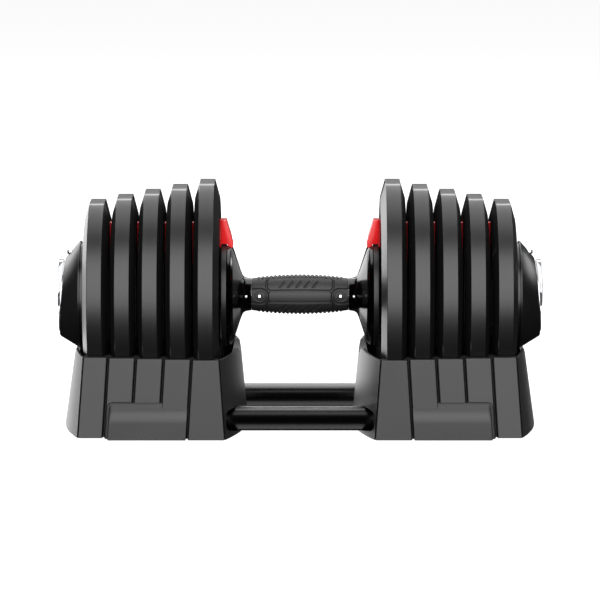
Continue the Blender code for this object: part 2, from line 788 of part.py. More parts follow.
def rod_slots(side):
    """The slots in the inner side wall, open to the front and to the rear, that the rods lie in."""
    low, high = (ROD_Z + sign * (ROD_RADIUS + GAP) for sign in (-1, 1))
    corner = ROD_SLOT_CORNER
    outline = (
        (0.030, low),
        (ROD_SLOT_X - corner, low),
        (ROD_SLOT_X, low + corner),
        (ROD_SLOT_X, high - corner),
        (ROD_SLOT_X - corner, high),
        (0.030, high),
    )
    for sign in (-1, 1):
        near, far = sorted((sign * ROD_Y, sign * FAR))
        yield prism(mirrored(outline, side), near, far, "Y")


def add_cradle(side, word, tray):
    """Half of the tray: an open-bottomed shell that five plates stand in."""
    name = f"{word}_cradle"
    body = cradle_body(side, CRADLE_BOTTOM, CRADLE_TOP, seams=True)
    cradle = add(name, body, black_plastic, tray)

    block = (
        (0.084, CRADLE_BOTTOM + 0.0001),
        (0.100, CRADLE_BOTTOM + 0.0001),
        (0.0996, BLOCK_HEIGHT - 0.008),
        (0.0975, BLOCK_HEIGHT - 0.002),
        (0.084, BLOCK_HEIGHT),
    )
    block_x = sorted(side * x for x in BLOCK_X)
    for sign, end in ((-1, "front"), (1, "rear")):
        outline = [(sign * y, z) for y, z in block]
        combine(cradle, "UNION", cutter(f"{name}_{end}_block", prism(outline, *block_x, "X"), tray))

    hollow = cutter(f"{name}_hollow", cradle_body(side, -0.001, CRADLE_TOP - TOP_WALL, WALL), tray)
    kept = [moved(turned(pocket_envelope(side), PLATE_SEGMENTS), by=(0, 0, AXIS_HEIGHT))]
    for low_x, high_x in ((0.040, 0.074), (0.188, 0.215)):
        ends = sorted((side * low_x, side * high_x))
        kept.append(box((ends[0], -FAR, SIDE_FLOOR - WALL), (ends[1], FAR, FAR)))
    kept += rod_line(SOCKET_RADIUS, 0.040, SOCKET_END_X, side)
    for i, bm in enumerate(kept):
        combine(hollow, "DIFFERENCE", cutter(f"{name}_kept_{i}", bm, tray))

    removed = [moved(turned(pocket_profile(side), PLATE_SEGMENTS), by=(0, 0, AXIS_HEIGHT))]
    removed += side_space(side)
    removed += rod_line(ROD_RADIUS + GAP, 0.030, ROD_HALF + GAP, side)
    removed += rod_slots(side)
    removed += rod_line(ROD_SCREW[0] + GAP, ROD_HALF - 0.010, SOCKET_END_X + 0.007, side, 12)
    for low, high, radius in (
        (0.040, INNER_SPACE_X, INNER_NOTCH_RADIUS),
        (OUTER_SPACE_X, 0.220, OUTER_NOTCH_RADIUS),
    ):
        notch = stud(side * low, side * high, radius, 32)
        removed.append(moved(notch, by=(0, 0, AXIS_HEIGHT)))
    spaces = [cutter(f"{name}_space_{i}", bm, tray) for i, bm in enumerate(removed)]
    combine(cradle, "DIFFERENCE", hollow, *spaces, solver="MANIFOLD")


def add_base_plate(side, word, tray):
    """The T-shaped plate that closes the cradle's underside between and beyond the rods."""
    count = 8
    inner, outer = [], []
    for i in range(count + 1):
        part = 2 * i / count - 1
        y = BASE_NARROW * part
        x = bulge(STRIP_EDGES_BOTTOM[0], INNER_BULGE_BOTTOM, y, STRIP_DEPTHS_BOTTOM[0])
        inner.append((x + BASE_MARGIN, -y))
        y = BASE_WIDE * part
        x = bulge(STRIP_EDGES_BOTTOM[-1], OUTER_BULGE_BOTTOM, y, STRIP_DEPTHS_BOTTOM[-1])
        outer.append((x - BASE_MARGIN - 0.001, y))
    front = [(BASE_STEP_X, -BASE_NARROW), (BASE_STEP_X, -BASE_WIDE)]
    rear = [(BASE_STEP_X, BASE_WIDE), (BASE_STEP_X, BASE_NARROW)]
    bm = prism(mirrored(inner + front + outer + rear, side), BASE_LOW, BASE_HIGH)
    plate = add(f"{word}_base_plate", bm, black_plastic, tray)
    foot_profile = (
        (0, 0),
        (0, FOOT_RADIUS),
        (FOOT_HEIGHT, FOOT_RADIUS),
        (FOOT_HEIGHT, FOOT_STEM_RADIUS),
        (FOOT_STEM_TOP, FOOT_STEM_RADIUS),
        (FOOT_STEM_TOP, 0),
    )
    for sign, end in ((-1, "front"), (1, "rear")):
        at = (side * FOOT_X, sign * FOOT_Y, 0)
        hole = moved(stud(-FAR, FAR, FOOT_STEM_RADIUS + GAP, 16), UPRIGHT)
        combine(plate, "DIFFERENCE", cutter(f"{word}_{end}_foot_hole", hole, tray, at))
        foot = moved(turned(foot_profile, 16), UPRIGHT)
        add(f"{word}_{end}_foot", foot, black_rubber, tray, at)


def add_rods(tray):
    """The two bars that hold the cradles apart, and a screw in each end."""
    bore_end = ROD_HALF - 0.014
    seat = SOCKET_END_X + GAP
    thread, head = ROD_SCREW
    for sign, end in ((-1, "front"), (1, "rear")):
        at = (0, sign * ROD_Y, ROD_Z)
        rod = add(f"{end}_rod", stud(-ROD_HALF, ROD_HALF, ROD_RADIUS, 24), gloss_plastic, tray, at)
        for side, word in SIDES:
            bore = stud(side * bore_end, side * FAR, thread + GAP)
            combine(rod, "DIFFERENCE", cutter(f"{end}_rod_{word}_bore", bore, tray, at))
            screw = stepped(bore_end + 0.002, seat, seat + 0.0035, thread, head, side)
            add(f"{word}_{end}_rod_screw", screw, bright_steel, tray, at)


def main():
    for item in list(bpy.data.objects):
        bpy.data.objects.remove(item)
    tray = empty("tray_frame", (0, 0, 0))
    axis = empty("handle_axis", (0, 0, AXIS_HEIGHT))
    add_rods(tray)
    add_core_tube(axis)
    add_grip(axis)
    for side, word in SIDES:
        add_cradle(side, word, tray)
        add_base_plate(side, word, tray)
        add_bell(side, word, axis)
        add_flange(side, word, axis)
        add_lock_button(side, word, axis)
        add_spring(side, word, axis)
        add_selector(side, word, axis)
        for number in range(1, PLATE_COUNT + 1):
            add_plate(number, side, word, axis)
            if number < PLATE_COUNT:
                add_guide(number, side, word, axis)
        add_end_cover(side, word, axis)


main()
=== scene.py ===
"""The looks of the adjustable dumbbell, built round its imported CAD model.

Metres. +X runs along the handle, -Y is the front, +Z is up. side is +1 for the right end and -1
for the left.
"""

import json
import math

import bmesh
import bpy
from mathutils import Matrix, Vector


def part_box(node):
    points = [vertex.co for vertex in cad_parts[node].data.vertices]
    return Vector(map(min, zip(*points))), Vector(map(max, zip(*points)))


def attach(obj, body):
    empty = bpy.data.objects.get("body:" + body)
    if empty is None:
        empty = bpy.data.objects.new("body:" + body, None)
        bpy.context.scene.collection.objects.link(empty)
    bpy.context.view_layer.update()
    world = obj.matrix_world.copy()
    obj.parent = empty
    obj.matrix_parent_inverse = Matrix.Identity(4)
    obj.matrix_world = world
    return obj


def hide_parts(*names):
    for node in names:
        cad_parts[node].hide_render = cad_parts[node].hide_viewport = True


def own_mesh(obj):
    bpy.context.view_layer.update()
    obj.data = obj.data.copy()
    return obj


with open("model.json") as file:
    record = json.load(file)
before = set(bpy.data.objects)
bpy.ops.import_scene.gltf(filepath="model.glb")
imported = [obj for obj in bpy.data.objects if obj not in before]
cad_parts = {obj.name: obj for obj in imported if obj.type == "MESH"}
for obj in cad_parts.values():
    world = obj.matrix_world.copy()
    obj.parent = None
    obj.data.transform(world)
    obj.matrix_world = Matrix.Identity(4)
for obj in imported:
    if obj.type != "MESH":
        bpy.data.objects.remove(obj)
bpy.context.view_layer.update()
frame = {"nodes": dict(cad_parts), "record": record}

# Sizes that the frame's boxes give
AXIS_Z = (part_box("grip_sleeve")[0].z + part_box("grip_sleeve")[1].z) / 2
GRIP_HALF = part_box("grip_sleeve")[1].x
BELL_START_X = GRIP_HALF + 0.0002
BELL_END_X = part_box("right_bell")[1].x
DISC_LOW, DISC_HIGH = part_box("right_flange_disc")
DISC_RADIUS = (DISC_HIGH.y - DISC_LOW.y) / 2
BUTTON_LOW, BUTTON_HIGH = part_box("right_lock_button")
COVER_LOW, COVER_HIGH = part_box("right_end_cover")
COVER_RADIUS = (COVER_HIGH.y - COVER_LOW.y) / 2
LENS_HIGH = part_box("right_lens")[1]
BADGE_RADIUS = (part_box("right_badge")[1].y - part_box("right_badge")[0].y) / 2
COVER_SCREW_LOW, COVER_SCREW_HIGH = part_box("right_cover_screw")
CRADLE_LOW, CRADLE_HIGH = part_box("right_cradle")
ROD_LOW, ROD_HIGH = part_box("front_rod")
ROD_Y = -(ROD_LOW.y + ROD_HIGH.y) / 2
ROD_Z = (ROD_LOW.z + ROD_HIGH.z) / 2
ROD_RADIUS = (ROD_HIGH.z - ROD_LOW.z) / 2

SIDES = ((-1, "left"), (1, "right"))
ENDS = ((-1, "front"), (1, "rear"))
FAR = 0.3
PLAY = 0.0003
FINE = 144
RING_COUNT = 96

# Plates
PLATE_COUNT = 5
PLATE_PITCH = 0.0246
PLATE_HALF = 0.0111
PLATE_GAP = PLATE_PITCH - 2 * PLATE_HALF
RIM_HALF = 0.00655
SHOULDER_DEPTH = 0.0169
FLAT_DROP = 0.0023
HUB_RADIUS = 0.013
RIM_ROUND = 0.0007
BORE_RADIUS = 0.0082
RECESS_DEPTH = 0.0085
RECESS_RIM = 0.026
SPINE_HALF = 0.018
GROOVE_FACE_HALF = 0.0067
GROOVE_FLOOR_HALF = 0.0089
GROOVE_DEPTH = 0.0048
TONGUE_ROOT_HALF = 0.0061
TONGUE_TIP_HALF = 0.0081
TONGUE_SEAT = 0.0027
TONGUE_REACH = PLATE_GAP + 0.0040
SEAT_DEPTH = 0.0030
BORE_STEPS = 24
RECESS_STEPS = 32
RECESS_CORNER = 0.004
# How deep each level of a recess is, and how far its wall stands in there
RECESS_LEVELS = ((-0.004, -0.0012), (0.0, -0.0012), (0.0012, 0.0), (RECESS_DEPTH - 0.002, 0.0),
                 (RECESS_DEPTH - 0.0006, 0.0006), (RECESS_DEPTH, 0.002))
# The painted highlight line under the flat: its span, and shares of the light highlight colour along it
FLAT_HIGHLIGHT_SPAN = 0.0020
FLAT_HIGHLIGHT_STOPS = ((0.42, 0), (0.58, 1), (0.92, 1), (0.97, 0))

# Grip
GRIP_INNER = 0.0129
GRIP_END_RADIUS = 0.0144
GRIP_SWELL = 0.0030
GRIP_SCREW_X = 0.0363
GRIP_COLUMNS = 264
GRIP_AROUND = 288
GRIP_EDGE = 0.0008
RELIEF_RADIUS = 0.0165
PANEL_LOW, PANEL_HIGH = math.radians(18), math.radians(64)
PANEL_HALF_X = 0.0300
BAND_HALF_X = 0.0282
BAND_HALF_ANGLE = math.radians(15)
BAND_RISE = 0.0007
BOSS_RADIUS = 0.0074
BOSS_GROOVE_RADIUS = 0.0046
SCREW_WELL_DEPTH = 0.0016
RIB_PITCH = 0.0074
RIB_SLANT = 0.78
TOOTH_PITCH = 0.0037
TOOTH_RISE = 0.0016
TOOTH_SINK = 0.0010

# Handle ends
BELL_INNER = 0.0129
FLANGE_BORE = 0.0104
NECK_SCREW_X = 0.0483
SHELF_LOW_X, SHELF_HIGH_X = 0.0552, 0.0648
SHELF_HALF = 0.006

# End covers
FACE_X = 0.2132
FACE_Z = -0.002
FACE_RADIUS = 0.0351
FACE_LEAN = math.radians(4.25)
BAND_START_X = 0.1960
BAND_END_X = 0.1976
COVER_STEP = 0.0017
COVER_HOLLOW_X = 0.206
COVER_HOLLOW_RADIUS = 0.028
COVER_HEAD_X = 0.2040
BADGE_GAP = 0.0003
BADGE_THICK = 0.0008
LENS_Z = 0.0065
LENS_RADIUS = 0.025

# Tray
STRIP_EDGES_TOP = (0.0700, 0.0952, 0.1198, 0.1445, 0.1691, 0.1918)
STRIP_EDGES_BOTTOM = (0.0652, 0.0995, 0.1241, 0.1488, 0.1734, 0.1970)
STRIP_DEPTHS_TOP = (0.098, 0.094, 0.090, 0.086, 0.082)
STRIP_DEPTHS_BOTTOM = (0.100, 0.0975, 0.095, 0.092, 0.089)
INNER_BULGE = (0.0468, 0.0535)
OUTER_BULGE = (0.2113, 0.2015)
SEAM_HALF = 0.0014
SEAM_FLOOR_HALF = 0.0001
SEAM_DEPTH = 0.0060
SEAM_LIP = 0.00035
SEAM_BACK_HALF = 0.0028
SEAM_END = 0.0022
BULGE_STEPS = 28
CORNER_GROOVE = 0.0014
WALL = 0.003
POCKET_CLEARANCE = 0.0009
POCKET_END_DEPTH = 0.018
RIB_DEPTH = 0.012
SIDE_FLOOR = 0.036
SIDE_WALL = 0.0024
INNER_SPACE_X = 0.0725
OUTER_SPACE_X = 0.1900
SPACE_END = 0.008
DECK_DEPTH = 0.005
DECK_REACH = 0.035
INNER_NOTCH_RADIUS = 0.0525
OUTER_NOTCH_RADIUS = 0.0525
BLOCK_HEIGHT = 0.0318
BLOCK_BACK_Y = 0.084
# How far the raised block has dropped at each distance from the middle
BLOCK_CURVE = ((0.0920, 0.0), (0.0935, 0.0003), (0.0948, 0.0022), (0.0960, 0.0041),
               (0.0975, 0.0062), (0.0988, 0.0086), (0.0997, 0.0114), (0.1001, 0.0140),
               (0.1003, 0.0165))
SOCKET_RADIUS = 0.014
SOCKET_END_X = 0.103
ROD_SLOT_X = 0.0652
ROD_SLOT_CORNER = 0.0040
ROD_SLOT_RISE = 0.17
ROD_SLOT_Y = 0.108
ROD_BORE_RADIUS = 0.0029
INNER_X = 0.040
TRAY_EDGE_Z = 0.0003

# Camera
VIEW_DISTANCE = 3.51
VIEW_ELEVATION = math.radians(8.2)
VIEW_LENS = 234
VIEW_HEIGHT = AXIS_Z - 0.0053

# Floor
FLOOR_Z = -0.0002


# Materials


def shader_of(name):
    made = bpy.data.materials.new(name)
    made.use_nodes = True
    return made, made.node_tree, made.node_tree.nodes["Principled BSDF"]


def node(tree, kind, **inputs):
    made = tree.nodes.new(kind)
    for key, value in inputs.items():
        made.inputs[key.replace("_", " ")].default_value = value
    return made


def noise(tree, scale, detail=4.0, stretch=None):
    """Noise in the piece's own space, stretched where the finish has a direction."""
    place = tree.nodes.new("ShaderNodeTexCoord")
    source = place.outputs["Object"]
    if stretch:
        mapping = node(tree, "ShaderNodeMapping", Scale=stretch)
        tree.links.new(source, mapping.inputs["Vector"])
        source = mapping.outputs["Vector"]
    made = node(tree, "ShaderNodeTexNoise", Scale=scale, Detail=detail)
    tree.links.new(source, made.inputs["Vector"])
    return made.outputs["Fac"]


def blend_colours(tree, factor, first, second):
    ramp = tree.nodes.new("ShaderNodeValToRGB")
    stops = ramp.color_ramp.elements
    stops[0].position, stops[1].position = 0.35, 0.65
    stops[0].color, stops[1].color = (*first, 1), (*second, 1)
    tree.links.new(factor, ramp.inputs["Fac"])
    return ramp.outputs["Color"]


def spread(tree, factor, low, high):
    """A number between low and high that follows the noise."""
    made = node(tree, "ShaderNodeMapRange", From_Min=0.3, From_Max=0.7, To_Min=low, To_Max=high)
    tree.links.new(factor, made.inputs["Value"])
    return made.outputs["Result"]


def bump(tree, shader, heights):
    """Bumps of (height source, depth in metres, strength), one over the other."""
    below = None
    for source, depth, strength in heights:
        made = node(tree, "ShaderNodeBump", Strength=strength, Distance=depth)
        tree.links.new(source, made.inputs["Height"])
        if below:
            tree.links.new(below, made.inputs["Normal"])
        below = made.outputs["Normal"]
    tree.links.new(below, shader.inputs["Normal"])


def finish(name, first, second, rough, grain, depth, mottle=30.0, metallic=0.0, specular=0.5,
           stretch=None, strength=0.25):
    """A moulded, coated or machined surface: mottled colour and gloss over a fine grain."""
    made, tree, shader = shader_of(name)
    broad = noise(tree, mottle, 5.0, stretch)
    fine = noise(tree, grain, 3.0, stretch)
    tree.links.new(blend_colours(tree, broad, first, second), shader.inputs["Base Color"])
    tree.links.new(spread(tree, fine, *rough), shader.inputs["Roughness"])
    shader.inputs["Metallic"].default_value = metallic
    shader.inputs["Specular IOR Level"].default_value = specular
    bump(tree, shader, ((fine, depth, strength), (broad, depth * 4, strength * 0.4)))
    return made


def mix_over(made, share, colour):
    """Lays a colour over the finish's own colour, as much as the share says."""
    tree = made.node_tree
    base = tree.nodes["Principled BSDF"].inputs["Base Color"]
    mix = tree.nodes.new("ShaderNodeMix")
    mix.data_type = "RGBA"
    tree.links.new(share, mix.inputs[0])
    tree.links.new(base.links[0].from_socket, mix.inputs[6])
    mix.inputs[7].default_value = (*colour, 1)
    tree.links.new(mix.outputs[2], base)


def clear_plastic():
    made, tree, shader = shader_of("clear_lens_finish")
    fine = noise(tree, 260.0, 2.0)
    tint = blend_colours(tree, noise(tree, 60.0), (0.68, 0.69, 0.70), (0.76, 0.76, 0.77))
    tree.links.new(tint, shader.inputs["Base Color"])
    tree.links.new(spread(tree, fine, 0.02, 0.07), shader.inputs["Roughness"])
    shader.inputs["Transmission Weight"].default_value = 1.0
    shader.inputs["IOR"].default_value = 1.45
    bump(tree, shader, ((fine, 0.00002, 0.2),))
    return made


def coated_plate(number, top):
    """The plates' baked coat, rubbed thin on raised edges, with a painted highlight line where the flat
    meets the rim.
    """
    made = finish(f"cast_iron_coat_{number}_finish", (0.004, 0.004, 0.0042), (0.006, 0.006, 0.0063),
                  (0.37, 0.43), 1500.0, 0.00003, mottle=25.0)
    tree = made.node_tree
    geometry = tree.nodes.new("ShaderNodeNewGeometry")
    edge = node(tree, "ShaderNodeMapRange", From_Min=0.53, From_Max=0.62, To_Max=0.6)
    tree.links.new(geometry.outputs["Pointiness"], edge.inputs["Value"])
    mix_over(made, edge.outputs["Result"], (0.10, 0.10, 0.105))

    # Painted highlight: a light grey band just under the flat's height, standing in for the light caught
    # where the flat meets the rim
    place = tree.nodes.new("ShaderNodeTexCoord")
    split = tree.nodes.new("ShaderNodeSeparateXYZ")
    tree.links.new(place.outputs["Object"], split.inputs["Vector"])
    height = node(tree, "ShaderNodeMapRange", From_Min=top - FLAT_HIGHLIGHT_SPAN, From_Max=top)
    tree.links.new(split.outputs["Z"], height.inputs["Value"])
    band = tree.nodes.new("ShaderNodeValToRGB")
    tree.links.new(height.outputs["Result"], band.inputs["Fac"])
    stops = band.color_ramp.elements
    for i, (position, share) in enumerate(FLAT_HIGHLIGHT_STOPS):
        stop = stops[i] if i < 2 else stops.new(position)
        stop.position = position
        stop.color = (share, share, share, 1)
    # Lays the painted highlight colour over the coat
    mix_over(made, band.outputs["Color"], (0.22, 0.22, 0.225))
    return made


FLANGE = finish("flange_coat_finish", (0.006, 0.006, 0.0063), (0.009, 0.009, 0.0095), (0.36, 0.44),
                1300.0, 0.00003)
RED = finish("red_nylon_finish", (0.74, 0.006, 0.008), (0.82, 0.009, 0.012), (0.26, 0.32),
             900.0, 0.00003, specular=0.35)
TRAY = finish("tray_plastic_finish", (0.014, 0.014, 0.0145), (0.018, 0.018, 0.0185), (0.46, 0.52),
              2200.0, 0.00004, mottle=18.0)
ROD = finish("rod_coat_finish", (0.003, 0.003, 0.0032), (0.004, 0.004, 0.0043), (0.27, 0.30),
             700.0, 0.000004, strength=0.05)
FOOT = finish("foot_rubber_finish", (0.022, 0.022, 0.022), (0.035, 0.035, 0.035), (0.75, 0.9),
              1800.0, 0.00008, strength=0.5)
GRIP = finish("grip_rubber_finish", (0.012, 0.012, 0.012), (0.017, 0.017, 0.017), (0.44, 0.54),
              2000.0, 0.00005, specular=0.4, strength=0.35)
GLOSS = finish("gloss_black_finish", (0.003, 0.003, 0.0033), (0.005, 0.005, 0.0055), (0.13, 0.18),
               500.0, 0.000012, strength=0.15)
SATIN = finish("satin_black_finish", (0.005, 0.005, 0.0055), (0.008, 0.008, 0.0085), (0.30, 0.36),
               1200.0, 0.00002, strength=0.2)
METAL = finish("bright_metal_finish", (0.74, 0.74, 0.76), (0.82, 0.82, 0.84), (0.14, 0.24),
               1400.0, 0.00002, metallic=1.0, strength=0.3)
STEEL = finish("steel_finish", (0.50, 0.50, 0.52), (0.60, 0.60, 0.62), (0.24, 0.38),
               700.0, 0.00003, metallic=1.0, stretch=(12.0, 1.0, 1.0), strength=0.5)
LENS = clear_plastic()


# Shapes


def new_piece(name, verts, faces, angle=30):
    """A mesh object with its faces pointing out, smooth but for edges sharper than the angle."""
    mesh = bpy.data.meshes.new(name)
    mesh.from_pydata([tuple(v) for v in verts], [], faces)
    bm = bmesh.new()
    bm.from_mesh(mesh)
    bmesh.ops.remove_doubles(bm, verts=bm.verts, dist=1e-7)
    bmesh.ops.recalc_face_normals(bm, faces=bm.faces)
    bm.to_mesh(mesh)
    bm.free()
    mesh.shade_smooth()
    mesh.set_sharp_from_angle(angle=math.radians(angle))
    piece = bpy.data.objects.new(name, mesh)
    bpy.context.scene.collection.objects.link(piece)
    return piece


def skin(name, rings, capped=True, looped=False, angle=30):
    """A surface through rings of points: each ring closed, the ends capped or joined up."""
    verts, faces, starts = [], [], []
    for ring in rings:
        starts.append(len(verts))
        verts += ring
    sizes = [len(ring) for ring in rings]
    pairs = list(zip(range(len(rings)), range(1, len(rings))))
    if looped:
        pairs.append((len(rings) - 1, 0))
    for a, b in pairs:
        if sizes[a] == 1 and sizes[b] == 1:
            continue
        count = max(sizes[a], sizes[b])
        for i in range(count):
            j = (i + 1) % count
            lower = [starts[a] + (i if sizes[a] > 1 else 0), starts[a] + (j if sizes[a] > 1 else 0)]
            upper = [starts[b] + (j if sizes[b] > 1 else 0), starts[b] + (i if sizes[b] > 1 else 0)]
            face = []
            for v in lower + upper:
                if v not in face:
                    face.append(v)
            faces.append(face)
    if capped and not looped:
        for k in (0, -1):
            if sizes[k] > 1:
                faces.append([starts[k] + i for i in range(sizes[k])])
    return new_piece(name, verts, faces, angle)


def rounded(points, radius, steps=4, closed=False):
    """The outline with its corners rounded. radius is one value, or one for each point."""
    radii = radius if isinstance(radius, (list, tuple)) else [radius] * len(points)
    out = []
    last = len(points) - 1
    for i, here in enumerate(points):
        if radii[i] <= 0 or (not closed and i in (0, last)):
            out.append(tuple(here))
            continue
        here = Vector(here)
        before = Vector(points[i - 1]) - here
        after = Vector(points[(i + 1) % len(points)]) - here
        turn = before.angle(after, math.pi)
        if turn > math.radians(178):
            out.append(tuple(here))
            continue
        reach = min(radii[i] / math.tan(turn / 2), before.length * 0.49, after.length * 0.49)
        start = here + before.normalized() * reach
        end = here + after.normalized() * reach
        for k in range(steps + 1):
            t = k / steps
            out.append(tuple((1 - t) ** 2 * start + 2 * t * (1 - t) * here + t * t * end))
    return out


def lathe(name, profile, segments=FINE, centre=(0.0, AXIS_Z), angle=30):
    """A piece turned about a line along X. The profile is a list of (x, radius)."""
    cy, cz = centre
    rings = []
    for x, radius in profile:
        if radius < 1e-7:
            rings.append([(x, cy, cz)])
            continue
        turns = (math.tau * k / segments for k in range(segments))
        rings.append([(x, cy + radius * math.sin(t), cz + radius * math.cos(t)) for t in turns])
    open_ends = min(radius for _, radius in profile) > 1e-7
    return skin(name, rings, looped=open_ends, angle=angle)


def mirrored(points, side):
    return [(side * x, *rest) for x, *rest in points]


def rectangle(low, high, bottom, top):
    return [(low, bottom), (high, bottom), (high, top), (low, top)]


def bar(low, high, radius):
    """The profile of a plain solid bar, for lathe."""
    return [(low, 0), (low, radius), (high, radius), (high, 0)]


def tapered(name, levels, axis):
    """A solid through outlines at levels along an axis: a list of (level, outline)."""
    place = {
        "X": lambda a, b, along: (along, a, b),
        "Y": lambda a, b, along: (a, along, b),
        "Z": lambda a, b, along: (a, b, along),
    }[axis]
    return skin(name, [[place(a, b, level) for a, b in outline] for level, outline in levels])


def extruded(name, outline, low, high, axis):
    return tapered(name, [(low, outline), (high, outline)], axis)


def circle(radius, count=48, centre=(0.0, 0.0)):
    """Points round a circle, or its centre alone where the radius is 0."""
    if radius == 0:
        return [centre]
    return [
        (centre[0] + radius * math.cos(math.tau * i / count),
         centre[1] + radius * math.sin(math.tau * i / count))
        for i in range(count)
    ]


def settle(piece, angle):
    """Bakes the piece's modifiers into its mesh."""
    graph = bpy.context.evaluated_depsgraph_get()
    mesh = bpy.data.meshes.new_from_object(piece.evaluated_get(graph))
    piece.modifiers.clear()
    piece.data = mesh
    mesh.shade_smooth()
    mesh.set_sharp_from_angle(angle=math.radians(angle))


def carve(piece, operation, others, angle=30):
    """Cuts the others from the piece, or joins them to it, and removes them."""
    for other in others:
        boolean = piece.modifiers.new("boolean", "BOOLEAN")
        boolean.operation = operation
        boolean.solver = "MANIFOLD"
        boolean.object = other
    settle(piece, angle)
    for other in others:
        bpy.data.objects.remove(other)


def edged(piece, width, segments=2):
    """Rounds the piece's sharp edges."""
    bevel = piece.modifiers.new("bevel", "BEVEL")
    bevel.width = width
    bevel.segments = segments
    bevel.limit_method = "ANGLE"
    bevel.angle_limit = math.radians(30)
    settle(piece, 60)


def weighted(piece):
    """Keeps flat faces flat beside rounded edges."""
    made = piece.modifiers.new("normals", "WEIGHTED_NORMAL")
    made.keep_sharp = True
    return piece


def show(piece, material, slot, body, *nodes):
    """Gives a piece its finish and body, and lets it stand for its CAD nodes."""
    piece.data.materials.clear()
    piece.data.materials.append(material)
    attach(piece, body)
    if nodes:
        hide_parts(*nodes)


# Plates


def plate_size(number):
    low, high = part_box(f"right_plate_{number}")
    return high.x - PLATE_HALF, (high.y - low.y) / 2


def add_plate(number, side, word, coats):
    """A cast plate with a flat top, a dovetail groove and a bore in its middle."""
    x, radius = plate_size(number)
    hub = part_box(f"right_plate_{number}")[0].x - x
    profile = [
        (hub, 0.0), (hub, HUB_RADIUS), (-PLATE_HALF, HUB_RADIUS + 0.0006),
        (-PLATE_HALF, radius - SHOULDER_DEPTH), (-RIM_HALF, radius), (RIM_HALF, radius),
        (PLATE_HALF, radius - SHOULDER_DEPTH), (PLATE_HALF, 0.0),
    ]
    rounds = [0, 0.0002, 0, 0.0012, RIM_ROUND, RIM_ROUND, 0.0012, 0]
    outline = [(side * (x + px), pr) for px, pr in rounded(profile, rounds, 5)]
    plate = lathe(f"{word}_plate_{number}_cast", outline, 192)
    top = AXIS_Z + radius - FLAT_DROP
    soft = 0.0004
    for vert in plate.data.vertices:
        over = vert.co.z - top
        if over > -soft:
            vert.co.z = top if over > soft else vert.co.z - (over + soft) ** 2 / (4 * soft)
    start = math.asin(0.0002 / BORE_RADIUS)
    sweep = math.pi + 2 * start
    turns = (-math.pi / 2 - start + sweep * i / BORE_STEPS for i in range(BORE_STEPS + 1))
    bore = [(side * BORE_RADIUS * math.cos(a), AXIS_Z + BORE_RADIUS * math.sin(a)) for a in turns]
    cuts = [extruded("bore", bore, side * (x - 0.02), side * (x + 0.02), "X")]
    face = x - PLATE_HALF
    groove = [
        (face - PLATE_HALF, -GROOVE_FACE_HALF - 0.0004), (face - 0.0001, -GROOVE_FACE_HALF - 0.0004),
        (face + 0.0004, -GROOVE_FACE_HALF),
        (face + GROOVE_DEPTH, -GROOVE_FLOOR_HALF), (face + GROOVE_DEPTH, GROOVE_FLOOR_HALF),
        (face + 0.0004, GROOVE_FACE_HALF),
        (face - 0.0001, GROOVE_FACE_HALF + 0.0004), (face - PLATE_HALF, GROOVE_FACE_HALF + 0.0004),
    ]
    cuts.append(extruded("groove", mirrored(groove, side), -FAR, FAR, "Z"))
    if number < PLATE_COUNT:
        low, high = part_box(f"right_guide_{number}")
        seat = x + PLATE_HALF - SEAT_DEPTH
        half = TONGUE_ROOT_HALF + PLAY
        outline = rectangle(seat, seat + 0.02, -half, half)
        cuts.append(extruded("seat", mirrored(outline, side), low.z - PLAY, high.z + PLAY, "Z"))
    reach = radius - RECESS_RIM
    for sign in (-1, 1):
        for end in (-1, 1):
            levels = []
            for depth, inset in RECESS_LEVELS:
                r = reach - inset
                spine = SPINE_HALF + inset
                lean = math.asin(spine / r)
                arc = [lean + (math.pi - 2 * lean) * i / RECESS_STEPS for i in range(RECESS_STEPS + 1)]
                points = [(r * math.cos(a), r * math.sin(a)) for a in arc]
                corners = [RECESS_CORNER] + [0] * (RECESS_STEPS - 1) + [RECESS_CORNER]
                points = rounded(points, corners, 4, closed=True)
                across = [(sign * b, AXIS_Z + a) for a, b in points]
                levels.append((side * (x + end * (PLATE_HALF - depth)), across))
            cuts.append(tapered("recess", levels, "X"))
    carve(plate, "DIFFERENCE", cuts)
    show(weighted(plate), coats[number], "cast_iron_coat", f"{word}_weight_{number}",
         f"{word}_plate_{number}")


def add_guide(number, side, word):
    """The nylon dovetail tongue between two plates."""
    x, _ = plate_size(number)
    low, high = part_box(f"{word}_guide_{number}")
    face = x + PLATE_HALF
    outline = [
        (face - TONGUE_SEAT, -TONGUE_ROOT_HALF), (face + PLATE_GAP, -TONGUE_ROOT_HALF),
        (face + TONGUE_REACH, -TONGUE_TIP_HALF), (face + TONGUE_REACH, TONGUE_TIP_HALF),
        (face + PLATE_GAP, TONGUE_ROOT_HALF), (face - TONGUE_SEAT, TONGUE_ROOT_HALF),
    ]
    guide = extruded(f"{word}_guide_{number}_tongue", mirrored(outline, side), low.z, high.z, "Z")
    edged(guide, 0.0004)
    show(guide, RED, "red_nylon", f"{word}_weight_{number}", f"{word}_guide_{number}")


# Grip


def smooth(value, low, high):
    t = min(1.0, max(0.0, (value - low) / (high - low)))
    return t * t * (3 - 2 * t)


def box_distance(x, s, half_x, half_s, corner):
    """Distance outside a rounded rectangle, negative inside it."""
    dx, ds = abs(x) - (half_x - corner), abs(s) - (half_s - corner)
    return math.hypot(max(dx, 0), max(ds, 0)) + min(max(dx, ds), 0) - corner


def line(distance, width, depth):
    """A rounded groove where the distance is near 0."""
    return -depth * (1 - smooth(abs(distance), width * 0.25, width * 0.75))


